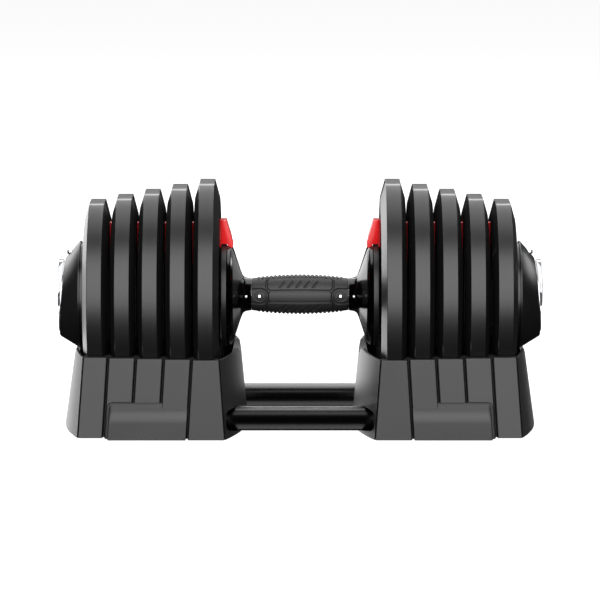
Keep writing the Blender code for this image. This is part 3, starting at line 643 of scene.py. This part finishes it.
def grip_relief(x, angle):
    """Height over the plain barrel, in metres. The angle is from the front, or from the rear."""
    s = RELIEF_RADIUS * angle
    height = 0.0
    middle = RELIEF_RADIUS * (PANEL_LOW + PANEL_HIGH) / 2
    half = RELIEF_RADIUS * (PANEL_HIGH - PANEL_LOW) / 2
    panel = box_distance(x, abs(s) - middle, PANEL_HALF_X, half, 0.0042)
    boss_x = abs(x) - GRIP_SCREW_X
    screw = math.hypot(boss_x, s)
    boss = (abs(s) if boss_x > 0 else screw) - BOSS_RADIUS
    if boss > 0:
        height += line(panel, 0.0017, 0.0013)
        band = box_distance(x, s, BAND_HALF_X, RELIEF_RADIUS * BAND_HALF_ANGLE, 0.0030)
        height += BAND_RISE * (1 - smooth(band, -0.0003, 0.0004))
    height += line(boss, 0.0018, 0.0016)
    if boss < 0:
        height += line(screw - BOSS_GROOVE_RADIUS, 0.0008, 0.0004)
        height -= SCREW_WELL_DEPTH * (1 - smooth(screw, 0.0021, 0.0025))
    if panel < -0.0008:
        for k in range(-2, 3):
            slant = RIB_SLANT * (abs(s) - middle) * (1 if s > 0 else -1)
            across = abs(x - (RIB_PITCH * k - 0.0004 + slant)) * 0.79
            along = smooth(half - 0.0024 - abs(abs(s) - middle), 0.0, 0.0012)
            height += along * line(across, 0.0016, 0.0012)
    tooth = abs(math.cos(math.pi * x / TOOTH_PITCH)) ** 0.7
    side_share = smooth(abs(angle), math.radians(66), math.radians(70))
    end_share = 1 - smooth(abs(x), 0.0368, 0.0385)
    height += side_share * end_share * (TOOTH_RISE * tooth - TOOTH_SINK)
    return height


def add_grip():
    rings = []
    for i in range(GRIP_COLUMNS + 1):
        x = GRIP_HALF * (2 * i / GRIP_COLUMNS - 1)
        barrel = GRIP_END_RADIUS + GRIP_SWELL * (1 - (x / GRIP_HALF) ** 2)
        end = max(0.0, abs(x) - (GRIP_HALF - GRIP_EDGE)) / GRIP_EDGE
        barrel -= PLAY * end * end
        ring = []
        for k in range(GRIP_AROUND):
            turn = math.tau * k / GRIP_AROUND
            local = (turn + math.pi / 2) % math.pi - math.pi / 2
            if math.pi / 2 < turn < 3 * math.pi / 2:
                local = -local
            radius = barrel + grip_relief(x, local) * (1 - end)
            ring.append((x, -radius * math.cos(turn), AXIS_Z + radius * math.sin(turn)))
        rings.append(ring)
    bore = []
    for x in (GRIP_HALF, -GRIP_HALF):
        turns = (math.tau * k / GRIP_AROUND for k in range(GRIP_AROUND))
        bore.append([(x, -GRIP_INNER * math.cos(t), AXIS_Z + GRIP_INNER * math.sin(t)) for t in turns])
    grip = skin("grip_moulding", rings + bore, looped=True, angle=50)
    show(grip, GRIP, "grip_rubber", "grip", "grip_sleeve")


# Screws


def hex_screw(name, at, direction, radius, height, depth):
    """A button-head screw with a hexagon socket. at is the middle of its seat."""
    count = 48
    socket = radius * 0.50
    profile = [
        (-depth, 0.0), (-depth, radius * 0.5), (0.0, radius * 0.5), (0.0, radius), (height * 0.35, radius),
        (height * 0.7, radius * 0.9), (height * 0.93, radius * 0.72), (height, radius * 0.6),
    ]
    rings = [[(along, *point) for point in circle(r, count)] for along, r in profile]
    hexagon = []
    for i in range(count):
        turn = math.tau * i / count
        wedge = (turn % (math.pi / 3)) - math.pi / 6
        r = socket * math.cos(math.pi / 6) / math.cos(wedge)
        hexagon.append((r * math.cos(turn), r * math.sin(turn)))
    for along in (height * 0.97, height * 0.3):
        rings.append([(along, a, b) for a, b in hexagon])
    rings.append([(height * 0.22, 0, 0)])
    screw = skin(name, rings, angle=35)
    turn = Vector((1, 0, 0)).rotation_difference(Vector(direction)).to_matrix().to_4x4()
    screw.data.transform(Matrix.Translation(Vector(at)) @ turn)
    return screw


def add_screws(side, word):
    front = (0, -1, 0)
    low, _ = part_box(f"{word}_grip_screw")
    grip = hex_screw(f"{word}_grip_screw_head", (side * GRIP_SCREW_X, low.y + 0.0012, AXIS_Z), front,
                     0.0018, 0.0008, 0.002)
    show(grip, METAL, "bright_metal", "grip", f"{word}_grip_screw")
    low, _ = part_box(f"{word}_neck_screw")
    neck = hex_screw(f"{word}_neck_screw_head", (side * NECK_SCREW_X, low.y + 0.0009, AXIS_Z), front,
                     0.0010, 0.0005, 0.0014)
    show(neck, METAL, "bright_metal", "handle", f"{word}_neck_screw")


# Handle ends


def add_bell(side, word):
    """The flared cover, with a shelf for the spring and a window for the button."""
    profile = [
        (BELL_START_X, 0.0134), (BELL_START_X, 0.0146), (0.0484, 0.0152), (0.0512, 0.0168),
        (0.0533, 0.0222), (0.0599, 0.0423), (0.0622, 0.0453), (BELL_END_X, DISC_RADIUS),
        (BELL_END_X, DISC_RADIUS - 0.0014), (0.0630, 0.0436), (0.0612, 0.0405), (0.0555, 0.0228),
        (0.0530, BELL_INNER), (BELL_START_X + 0.0003, BELL_INNER),
    ]
    rounds = [0.0003, 0.0005, 0.004, 0.005, 0.010, 0.010, 0.003,
              0.0005, 0.0004, 0.002, 0.004, 0.004, 0.002, 0]
    outline = mirrored(rounded(profile, rounds, 6, closed=True), side)
    bell = lathe(f"{word}_bell_cover", outline, angle=40)
    shelf_outline = rectangle(SHELF_LOW_X, SHELF_HIGH_X, -SHELF_HALF, SHELF_HALF)
    spring_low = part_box("right_lock_spring")[0].z
    shelf = extruded("shelf", mirrored(shelf_outline, side), AXIS_Z + 0.0255, spring_low - PLAY, "Z")
    carve(bell, "UNION", [shelf], angle=40)
    half = BUTTON_HIGH.y + 0.0004
    window = rectangle(0.0585, 0.0700, -half, half)
    cut = extruded("window", mirrored(window, side), AXIS_Z + 0.038, AXIS_Z + 0.060, "Z")
    hole = extruded("hole", circle(0.0013, 24, (side * NECK_SCREW_X, AXIS_Z)), -0.03, -0.010, "Y")
    carve(bell, "DIFFERENCE", [cut, hole], angle=40)
    show(bell, GLOSS, "gloss_black", "handle", f"{word}_bell")


def add_flange(side, word):
    profile = rectangle(DISC_LOW.x, DISC_HIGH.x, FLANGE_BORE, DISC_RADIUS)
    outline = mirrored(rounded(profile, [0.0003, 0.0003, 0.0006, 0.0006], 4, closed=True), side)
    disc = lathe(f"{word}_flange_plate", outline)
    half = BUTTON_HIGH.y + 0.0004
    notch = rectangle(0.060, 0.080, -half, half)
    cut = extruded("notch", mirrored(notch, side), AXIS_Z + 0.0422, AXIS_Z + 0.060, "Z")
    carve(disc, "DIFFERENCE", [cut])
    show(weighted(disc), FLANGE, "flange_coat", "handle", f"{word}_flange_disc")


def raised(points, side):
    """Points given from the handle's axis, in place on this side."""
    return [(side * x, AXIS_Z + z) for x, z in points]


def add_button(side, word):
    """The red lock button, with finger ridges on its slanted edge."""
    top = BUTTON_HIGH.z - AXIS_Z
    base = BUTTON_LOW.z - AXIS_Z
    half = BUTTON_HIGH.y
    body = [
        (0.0704, 0.0467), (0.0704, top), (0.0659, top), (0.0613, 0.0526), (0.0599, 0.0446),
        (0.0612, 0.0434), (0.0612, base), (0.0649, base), (0.0649, 0.0467),
    ]
    button = extruded(f"{word}_lock_key", raised(body, side), -half, half, "Y")
    tail_end = BUTTON_HIGH.x
    tail = [(0.0690, 0.0477), (0.0707, 0.0477), (0.0707, 0.0432), (tail_end, 0.0432),
            (tail_end, top - 0.0002), (0.0690, top - 0.0002)]
    tail_piece = extruded("tail", raised(tail, side), -0.006, 0.006, "Y")
    ridge_z = 0.0478
    ridge_x = 0.0599 + (ridge_z - 0.0446) * (0.0613 - 0.0599) / (0.0526 - 0.0446)
    ridge = [(ridge_x + 0.0012, ridge_z - 0.0010), (ridge_x - 0.0007, ridge_z - 0.0002),
             (ridge_x - 0.0007, ridge_z + 0.0006), (ridge_x + 0.0012, ridge_z + 0.0012)]
    ridge_piece = extruded("ridge", raised(ridge, side), -half + 0.002, half - 0.002, "Y")
    carve(button, "UNION", [tail_piece, ridge_piece])
    edged(button, 0.0005, 3)
    show(button, RED, "red_nylon", f"{word}_button", f"{word}_lock_button")


def add_spring(side, word):
    """The coil spring under a lock button."""
    low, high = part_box(f"{word}_lock_spring")
    wire, turns, per_turn, sides = 0.0004, 3, 24, 8
    middle = ((low.x + high.x) / 2, (low.y + high.y) / 2)
    radius = (high.y - low.y) / 2 - wire
    count = turns * per_turn
    rings = []
    for i in range(count + 1):
        turn = math.tau * i / per_turn
        z = low.z + wire + (high.z - low.z - 2 * wire) * i / count
        ring = []
        for k in range(sides):
            around = math.tau * k / sides
            out = radius + wire * math.cos(around)
            ring.append((middle[0] + out * math.cos(turn), middle[1] + out * math.sin(turn),
                         z + wire * math.sin(around)))
        rings.append(ring)
    spring = skin(f"{word}_spring_coil", rings)
    show(spring, STEEL, "steel", "handle", f"{word}_lock_spring")
    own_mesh(spring)


# End covers


def face_ring(side, radius, off, centre_z=FACE_Z):
    """A circle on the cover's leaning face, or this far off it."""
    ring = []
    for i in range(RING_COUNT):
        turn = math.tau * i / RING_COUNT
        height = centre_z + radius * math.sin(turn)
        x = FACE_X - (height - FACE_Z) * math.tan(FACE_LEAN) + off / math.cos(FACE_LEAN)
        ring.append((side * x, radius * math.cos(turn), AXIS_Z + height))
    return ring


def upright_ring(side, radius, x, centre_z=0.0):
    points = circle(radius, RING_COUNT, (0.0, AXIS_Z + centre_z))
    return [(side * x, y, z) for y, z in points]


def between(first, second, share):
    return [tuple(Vector(a).lerp(Vector(b), share)) for a, b in zip(first, second)]


def add_end_cover(side, word):
    """The outermost plate's cover, with its badge, lens and screw."""
    body = f"{word}_weight_5"
    base = upright_ring(side, COVER_RADIUS, BAND_END_X)
    face = face_ring(side, FACE_RADIUS, 0)
    rings = [
        upright_ring(side, COVER_RADIUS - COVER_STEP, COVER_LOW.x),
        upright_ring(side, COVER_RADIUS - COVER_STEP, BAND_START_X),
        upright_ring(side, COVER_RADIUS - 0.0003, BAND_START_X + 0.0001),
        upright_ring(side, COVER_RADIUS, BAND_START_X + 0.0005),
        between(base, upright_ring(side, COVER_RADIUS, BAND_START_X), 0.12),
        upright_ring(side, COVER_RADIUS - 0.0002, BAND_END_X),
        between(base, face, 0.03),
        between(base, face, 0.5),
        between(base, face, 0.95),
        face_ring(side, FACE_RADIUS - 0.0004, -0.0001),
        face_ring(side, FACE_RADIUS - 0.0012, 0),
        face_ring(side, FACE_RADIUS - 0.0028, 0),
    ]
    cover = skin(f"{word}_cover_shell", rings, angle=25)
    inside = COVER_LOW.x - 0.01
    hollow = lathe("hollow", mirrored(bar(inside, COVER_HOLLOW_X, COVER_HOLLOW_RADIUS), side), 64)
    screw_z = (COVER_SCREW_LOW.z + COVER_SCREW_HIGH.z) / 2
    seat = COVER_HEAD_X - PLAY
    hole_profile = [(inside, 0), (inside, 0.0018), (seat, 0.0018), (seat, 0.0029), (0.23, 0.0029), (0.23, 0)]
    hole = lathe("hole", mirrored(hole_profile, side), 32, (0.0, screw_z))
    carve(cover, "DIFFERENCE", [hollow, hole], angle=25)
    show(cover, SATIN, "gloss_black", body, f"{word}_end_cover")

    outside = BADGE_GAP + BADGE_THICK
    badge_rings = [
        face_ring(side, BADGE_RADIUS, BADGE_GAP),
        face_ring(side, BADGE_RADIUS, outside - 0.0002),
        face_ring(side, BADGE_RADIUS - 0.0003, outside),
        face_ring(side, BADGE_RADIUS - 0.0028, outside),
        face_ring(side, BADGE_RADIUS - 0.0032, outside - 0.0003),
        face_ring(side, BADGE_RADIUS * 0.4, outside - 0.0003),
    ]
    badge = skin(f"{word}_badge_disc", badge_rings)
    show(badge, STEEL, "bright_metal", body, f"{word}_badge")

    off = 2 * BADGE_GAP + BADGE_THICK
    foot = face_ring(side, LENS_RADIUS, off, LENS_Z)
    top = upright_ring(side, LENS_RADIUS, LENS_HIGH.x, LENS_Z)
    lens_rings = [
        foot,
        between(foot, top, 0.8),
        between(upright_ring(side, LENS_RADIUS - 0.0003, LENS_HIGH.x, LENS_Z), foot, 0.06),
        upright_ring(side, LENS_RADIUS - 0.0010, LENS_HIGH.x, LENS_Z),
        upright_ring(side, LENS_RADIUS * 0.5, LENS_HIGH.x, LENS_Z),
    ]
    lens = skin(f"{word}_lens_window", lens_rings)
    show(lens, LENS, "clear_lens", body, f"{word}_lens")

    at = (side * COVER_HEAD_X, 0, screw_z)
    screw = hex_screw(f"{word}_cover_screw_head", at, (side, 0, 0), 0.0026,
                      COVER_SCREW_HIGH.x - COVER_HEAD_X, COVER_HEAD_X - COVER_SCREW_LOW.x)
    show(screw, METAL, "bright_metal", body, f"{word}_cover_screw")


# Tray


def mixed(low, high, height):
    """The value at a height, from the values at the cradle's bottom and top."""
    t = (height - CRADLE_LOW.z) / (CRADLE_HIGH.z - CRADLE_LOW.z)
    if isinstance(low, (int, float)):
        return low + (high - low) * t
    return [a + (b - a) * t for a, b in zip(low, high)]


def bulge(edge, middle, y, depth):
    return middle + (edge - middle) * (y / depth) ** 2


def cradle_ring(side, height, inset, seams=True):
    """One level of the cradle's outline: stepped strips with deep seams, and curved side walls."""
    edges = mixed(STRIP_EDGES_BOTTOM, STRIP_EDGES_TOP, height)
    depths = [depth - inset for depth in mixed(STRIP_DEPTHS_BOTTOM, STRIP_DEPTHS_TOP, height)]
    inner_middle = mixed(*INNER_BULGE, height)
    outer_middle = mixed(*OUTER_BULGE, height)
    lip, groove = (SEAM_LIP, CORNER_GROOVE) if seams else (0.0, 0.0)
    front = []
    if seams:
        front += [
            (edges[0] + inset + 0.0002, -depths[0] + groove),
            (edges[0] + inset + groove, -depths[0] + groove * 3),
            (edges[0] + inset + groove, -depths[0] + lip),
            (edges[0] + inset + groove + lip, -depths[0]),
        ]
    else:
        front.append((edges[0] + inset, -depths[0]))
    for i in range(1, len(depths)):
        near, far = -depths[i - 1], -depths[i]
        if seams:
            low = far + SEAM_DEPTH
            front += [
                (edges[i] - SEAM_HALF - lip, near), (edges[i] - SEAM_HALF, near + lip),
                (edges[i] - SEAM_FLOOR_HALF, low), (edges[i] + SEAM_FLOOR_HALF, low),
                (edges[i] + SEAM_HALF, far + lip), (edges[i] + SEAM_HALF + lip, far),
            ]
        else:
            front += [(edges[i] - inset, near), (edges[i] - inset, far)]
    if seams:
        front += [
            (edges[-1] - inset - groove - lip, -depths[-1]),
            (edges[-1] - inset - groove, -depths[-1] + lip),
            (edges[-1] - inset - groove, -depths[-1] + groove * 3),
            (edges[-1] - inset - 0.0002, -depths[-1] + groove),
        ]
    else:
        front.append((edges[-1] - inset, -depths[-1]))
    outer, inner = [], []
    short = SEAM_END if seams else 0
    outer_reach, inner_reach = depths[-1] - short, depths[0] - short
    first = 0 if seams else 1
    for i in range(first, BULGE_STEPS + 1 - first):
        y = 2 * i / BULGE_STEPS - 1
        outer.append((bulge(edges[-1], outer_middle, y, 1) - inset, y * outer_reach))
        inner.append((bulge(edges[0], inner_middle, y, 1) + inset, -y * inner_reach))
    rear = [(x, -y) for x, y in reversed(front)]
    return [(side * x, y, height) for x, y in front + outer + rear + inner]


def cradle_solid(name, side, levels, seams=True):
    return skin(name, [cradle_ring(side, height, inset, seams) for height, inset in levels], angle=25)


def rod_line(radius, low, high, side, segments=40):
    """A bar along each rod's line."""
    profile = mirrored(bar(low, high, radius), side)
    return [lathe("rod_line", profile, segments, (sign * ROD_Y, ROD_Z)) for sign in (-1, 1)]


def pocket(side):
    """The turned space that five plates stand in, with a rib between each two."""
    sizes = [plate_size(n) for n in range(1, PLATE_COUNT + 1)]
    pitch = sizes[1][0] - sizes[0][0]
    first, last = sizes[0][0] - pitch / 2 - 0.0006, sizes[-1][0] + pitch / 2 + 0.0012
    profile = [(first, 0), (first, sizes[0][1] - POCKET_END_DEPTH)]
    for i, (x, radius) in enumerate(sizes):
        half = RIM_HALF + POCKET_CLEARANCE
        rim = radius + POCKET_CLEARANCE
        profile += [(x - half, rim), (x + half, rim)]
        if i + 1 < PLATE_COUNT:
            ridge = sizes[i + 1][1] - RIB_DEPTH
            profile += [(x + pitch / 2 - 0.0003, ridge), (x + pitch / 2 + 0.0003, ridge)]
    profile += [(last, sizes[-1][1] - POCKET_END_DEPTH), (last, 0)]
    return lathe("pocket", mirrored(profile, side))


def pocket_envelope(side):
    """A plain cone outside the pockets of all five plates."""
    (x_1, r_1), (x_2, r_2) = plate_size(1), plate_size(2)
    slope = (r_1 - r_2) / (x_2 - x_1)
    corner_x = x_1 + RIM_HALF + POCKET_CLEARANCE
    corner_radius = r_1 + POCKET_CLEARANCE + WALL - 0.0005
    pitch = x_2 - x_1
    ends = (x_1 - pitch / 2 - WALL, x_1 + pitch * (PLATE_COUNT - 1) + pitch / 2 + WALL)
    first, last = ((x, corner_radius + (corner_x - x) * slope) for x in ends)
    return lathe("envelope", mirrored([(first[0], 0), first, last, (last[0], 0)], side), 96)


def side_spaces(side):
    """The open spaces between the plates and the cradle's curved side walls."""
    spaces = []
    for middle, edge, depth, sign, plates_x in (
        (INNER_BULGE[1], STRIP_EDGES_TOP[0], STRIP_DEPTHS_TOP[0], 1, INNER_SPACE_X),
        (OUTER_BULGE[1], STRIP_EDGES_TOP[-1], STRIP_DEPTHS_TOP[-1], -1, OUTER_SPACE_X),
    ):
        reach = depth - SPACE_END
        outline = [(plates_x, reach), (plates_x, -reach)]
        for i in range(BULGE_STEPS + 1):
            y = reach * (2 * i / BULGE_STEPS - 1)
            deck = DECK_DEPTH * max(0.0, 1 - (y / DECK_REACH) ** 2) if sign > 0 else 0.0
            outline.append((bulge(edge, middle, y, depth) + sign * (SIDE_WALL + deck), y))
        spaces.append(extruded("space", mirrored(outline, side), SIDE_FLOOR, CRADLE_HIGH.z + 0.01, "Z"))
    return spaces


def block_outline(side, inner, outer, top, corner):
    """The raised block's outline in X and Z. Its sides lean with the seams beside it."""
    lean = (STRIP_EDGES_BOTTOM[1] - STRIP_EDGES_TOP[1]) / (CRADLE_HIGH.z - CRADLE_LOW.z)
    shift = lean * (top - TRAY_EDGE_Z)
    points = [(inner, TRAY_EDGE_Z), (outer, TRAY_EDGE_Z), (outer - shift, top), (inner - shift, top)]
    return mirrored(rounded(points, [0, 0, corner, 0], 8, closed=True), side)


def add_blocks(side):
    """The raised blocks low on the cradle's front and rear, each with a stepped outer edge."""
    inner = STRIP_EDGES_BOTTOM[1] + SEAM_HALF
    outer = STRIP_EDGES_BOTTOM[4] - 0.0036
    blocks = []
    for sign, _ in ENDS:
        levels = [(sign * BLOCK_BACK_Y, block_outline(side, inner, outer, BLOCK_HEIGHT, 0.0040))]
        for y, drop in BLOCK_CURVE:
            edge = outer - drop * 0.06
            levels.append((sign * y, block_outline(side, inner, edge, BLOCK_HEIGHT - drop, 0.0040)))
        blocks.append(tapered("block", levels, "Y"))
        step = block_outline(side, inner, outer + 0.0016, BLOCK_HEIGHT + 0.0009, 0.0052)
        step_edge = block_outline(side, inner, outer + 0.0011, BLOCK_HEIGHT + 0.0004, 0.0050)
        levels = [(sign * BLOCK_BACK_Y, step), (sign * 0.0930, step), (sign * 0.0936, step_edge)]
        blocks.append(tapered("step", levels, "Y"))
    return blocks


def rod_slots(side):
    """The slots in the inner side wall, open to the front and to the rear, that the rods lie in."""
    for sign, _ in ENDS:
        levels = []
        for y in (ROD_Y, ROD_SLOT_Y):
            low = ROD_Z - ROD_RADIUS - PLAY + (y - ROD_Y) * ROD_SLOT_RISE
            corners = rectangle(0.030, ROD_SLOT_X, low, ROD_Z + ROD_RADIUS + PLAY)
            levels.append((sign * y, mirrored(rounded(corners, ROD_SLOT_CORNER, 6), side)))
        yield tapered("slot", levels, "Y")


def add_cradle(side, word):
    """Half of the tray: an open-bottomed shell that five plates stand in."""
    low, high = TRAY_EDGE_Z, CRADLE_HIGH.z
    levels = [(low, 0.0004), (low + 0.0004, 0.0), (high - 0.0010, 0.0), (high - 0.0005, 0.00013),
              (high - 0.00013, 0.0005), (high, 0.0010)]
    cradle = cradle_solid(f"{word}_cradle_shell", side, levels)
    carve(cradle, "UNION", add_blocks(side), angle=25)
    hollow = cradle_solid("hollow", side, [(-0.001, WALL), (high - 0.003, WALL)], seams=False)
    kept = [pocket_envelope(side)]
    for low_x, high_x in ((INNER_X, 0.074), (0.188, 0.215)):
        outline = rectangle(low_x, high_x, -FAR, FAR)
        kept.append(extruded("kept", mirrored(outline, side), SIDE_FLOOR - WALL, FAR, "Z"))
    kept += rod_line(SOCKET_RADIUS, INNER_X, SOCKET_END_X, side)
    floor_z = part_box(f"{word}_base_plate")[1].z + PLAY
    backing = rectangle(INNER_X, ROD_SLOT_X + WALL, floor_z, ROD_Z + ROD_RADIUS + WALL)
    start = ROD_Y - ROD_RADIUS
    for sign, _ in ENDS:
        kept.append(extruded("backing", mirrored(backing, side), sign * start, sign * FAR, "Y"))
    for i in range(1, PLATE_COUNT):
        levels = []
        for height, edge in ((-0.002, STRIP_EDGES_BOTTOM[i]), (high, STRIP_EDGES_TOP[i])):
            outline = rectangle(edge - SEAM_BACK_HALF, edge + SEAM_BACK_HALF, -FAR, FAR)
            levels.append((height, mirrored(outline, side)))
        kept.append(tapered("seam_back", levels, "Z"))
    carve(hollow, "DIFFERENCE", kept)
    removed = [hollow, pocket(side), *side_spaces(side)]
    removed += rod_line(ROD_RADIUS + PLAY, 0.030, ROD_HIGH.x + PLAY, side, 64)
    removed += rod_slots(side)
    removed += rod_line(ROD_BORE_RADIUS, ROD_HIGH.x - 0.010, SOCKET_END_X + 0.007, side, 24)
    for low_x, high_x, radius in (
        (INNER_X, INNER_SPACE_X, INNER_NOTCH_RADIUS), (OUTER_SPACE_X, 0.220, OUTER_NOTCH_RADIUS),
    ):
        removed.append(lathe("notch", mirrored(bar(low_x, high_x, radius), side)))
    carve(cradle, "DIFFERENCE", removed, angle=25)
    show(weighted(cradle), TRAY, "tray_plastic", "tray", f"{word}_cradle")


def add_rods():
    for sign, end in ENDS:
        profile = rounded(bar(-ROD_HIGH.x, ROD_HIGH.x, ROD_RADIUS), [0, 0.0008, 0.0008, 0], 4)
        rod = lathe(f"{end}_rod_bar", profile, 96, (sign * ROD_Y, ROD_Z))
        cuts = []
        for side, _ in SIDES:
            bore = mirrored(bar(ROD_HIGH.x - 0.014, 0.12, ROD_BORE_RADIUS), side)
            cuts.append(lathe("bore", bore, 24, (sign * ROD_Y, ROD_Z)))
        carve(rod, "DIFFERENCE", cuts)
        show(rod, ROD, "rod_coat", "tray", f"{end}_rod")


def add_feet(side, word):
    for sign, end in ENDS:
        low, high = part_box(f"{word}_{end}_foot")
        radius = (high.x - low.x) / 2
        profile = [
            (0.0, 0.0), (0.0, radius * 0.55), (0.0003, radius * 0.6), (0.0003, radius * 0.7),
            (0.0, radius * 0.75), (0.0, radius - 0.0004), (0.0004, radius), (0.0011, radius),
            (0.0011, 0.0034), (high.z, 0.0034), (high.z, 0.0),
        ]
        centre = ((low.x + high.x) / 2, (low.y + high.y) / 2)
        rings = [[(a, b, z) for a, b in circle(r, centre=centre)] for z, r in profile]
        show(skin(f"{word}_{end}_foot_pad", rings), FOOT, "foot_rubber", "tray", f"{word}_{end}_foot")


def paint_hidden():
    """Finishes for the CAD nodes whose own shapes show."""
    finishes = {"steel": STEEL, "tray_plastic": TRAY, "bright_metal": METAL}
    slots = {part["node"]: part["material_slot"] for part in frame["record"]["subparts"]}
    for name, piece in frame["nodes"].items():
        if piece.hide_render:
            continue
        piece.data.materials.clear()
        piece.data.materials.append(finishes[slots[name]])


# Camera, floor and light


def add_camera():
    data = bpy.data.cameras.new("camera")
    data.lens = VIEW_LENS
    data.clip_end = 100
    camera = bpy.data.objects.new("camera", data)
    target = Vector((0, 0, VIEW_HEIGHT))
    back = VIEW_DISTANCE * math.cos(VIEW_ELEVATION)
    rise = VIEW_DISTANCE * math.sin(VIEW_ELEVATION)
    camera.location = target + Vector((0, -back, rise))
    camera.rotation_euler = (target - camera.location).to_track_quat("-Z", "Y").to_euler()
    bpy.context.scene.collection.objects.link(camera)
    bpy.context.scene.camera = camera


def add_floor():
    made, tree, shader = shader_of("floor_finish")
    colour = blend_colours(tree, noise(tree, 0.6, 2.0), (0.40, 0.40, 0.40), (0.42, 0.42, 0.42))
    tree.links.new(colour, shader.inputs["Base Color"])
    shader.inputs["Roughness"].default_value = 0.9
    shader.inputs["Specular IOR Level"].default_value = 0.0
    shader.inputs["Emission Color"].default_value = (1, 1, 1, 1)
    shader.inputs["Emission Strength"].default_value = 0.93
    rings = [[(a, b, FLOOR_Z) for a, b in circle(r, 64)] for r in (0, 1.0, 5.0, 30.0)]
    floor = skin("floor", rings, capped=False)
    floor.data.materials.append(made)
    floor.visible_diffuse = False
    floor.visible_glossy = False
    floor.visible_shadow = False


def add_light(name, azimuth, elevation, distance, size, radiance, only=(), without=()):
    """A softbox facing the dumbbell. Its azimuth, in degrees, runs from the front to the right.

    Flags keep its light on some pieces only, or off some pieces."""
    turn, rise = math.radians(azimuth), math.radians(elevation)
    away = Vector((math.sin(turn) * math.cos(rise), -math.cos(turn) * math.cos(rise), math.sin(rise)))
    data = bpy.data.lights.new(name, "AREA")
    data.shape = "RECTANGLE"
    data.size, data.size_y = size
    data.energy = radiance * math.pi * size[0] * size[1]
    light = bpy.data.objects.new(name, data)
    light.location = Vector((0, 0, AXIS_Z)) + distance * away
    light.visible_camera = False
    light.rotation_euler = away.to_track_quat("Z", "Y").to_euler()
    bpy.context.scene.collection.objects.link(light)
    if only or without:
        lit = bpy.data.collections.new(f"{name}_flags")
        for piece in only or without:
            lit.objects.link(bpy.data.objects[piece])
        for held in lit.collection_objects:
            held.light_linking.link_state = "INCLUDE" if only else "EXCLUDE"
        light.light_linking.receiver_collection = lit


def add_stage():
    scene = bpy.context.scene
    scene.view_settings.view_transform = "Standard"
    world = bpy.data.worlds.new("studio")
    scene.world = world
    world.use_nodes = True
    background = world.node_tree.nodes["Background"]
    background.inputs["Color"].default_value = (1, 1, 1, 1)
    background.inputs["Strength"].default_value = 0.012
    rods = [f"{end}_rod_bar" for _, end in ENDS]
    bells = [f"{word}_bell_cover" for _, word in SIDES]
    covers = [f"{word}_cover_shell" for _, word in SIDES]
    shells = [f"{word}_cradle_shell" for _, word in SIDES]
    add_light("front_softbox", 0, 24, 3.0, (4.2, 4.0), 4.3, without=rods + bells)
    add_light("top_softbox", 0, 110, 2.4, (3.0, 2.2), 2.2, without=rods)
    add_light("back_softbox", 180, 31, 2.8, (2.6, 0.9), 3.6, without=rods)
    add_light("back_left_softbox", -150, 1, 2.8, (1.6, 1.7), 3.5, without=bells + covers)
    add_light("bell_softbox", -150, 3, 2.8, (1.6, 1.7), 2.0, only=bells + covers)
    add_light("right_softbox", 120, 20, 2.2, (1.2, 0.4), 5.0)
    add_light("cover_softbox", -132, 17, 2.6, (1.6, 0.8), 2.2, only=covers)
    add_light("bell_right_softbox", 150, 3, 2.8, (1.6, 1.7), 0.5, only=bells)
    add_light("tray_softbox", 180, -6, 2.8, (2.2, 0.8), 1.8, only=shells)
    add_light("rod_top_softbox", 0, 118, 2.4, (3.0, 3.0), 4.5, only=rods)
    add_light("rod_front_softbox", 0, 54, 2.4, (3.0, 1.2), 1.4, only=rods)
    add_light("rod_floor_softbox", 0, -80, 2.4, (3.0, 2.4), 1.2, only=rods)


add_camera()
coats = {}
for number in range(1, PLATE_COUNT + 1):
    coats[number] = coated_plate(number, AXIS_Z + plate_size(number)[1] - FLAT_DROP)
    for side, word in SIDES:
        add_plate(number, side, word, coats)
        if number < PLATE_COUNT:
            add_guide(number, side, word)
add_grip()
add_rods()
for side, word in SIDES:
    add_screws(side, word)
    add_bell(side, word)
    add_flange(side, word)
    add_button(side, word)
    add_spring(side, word)
    add_end_cover(side, word)
    add_cradle(side, word)
    add_feet(side, word)
paint_hidden()
add_floor()
add_stage()
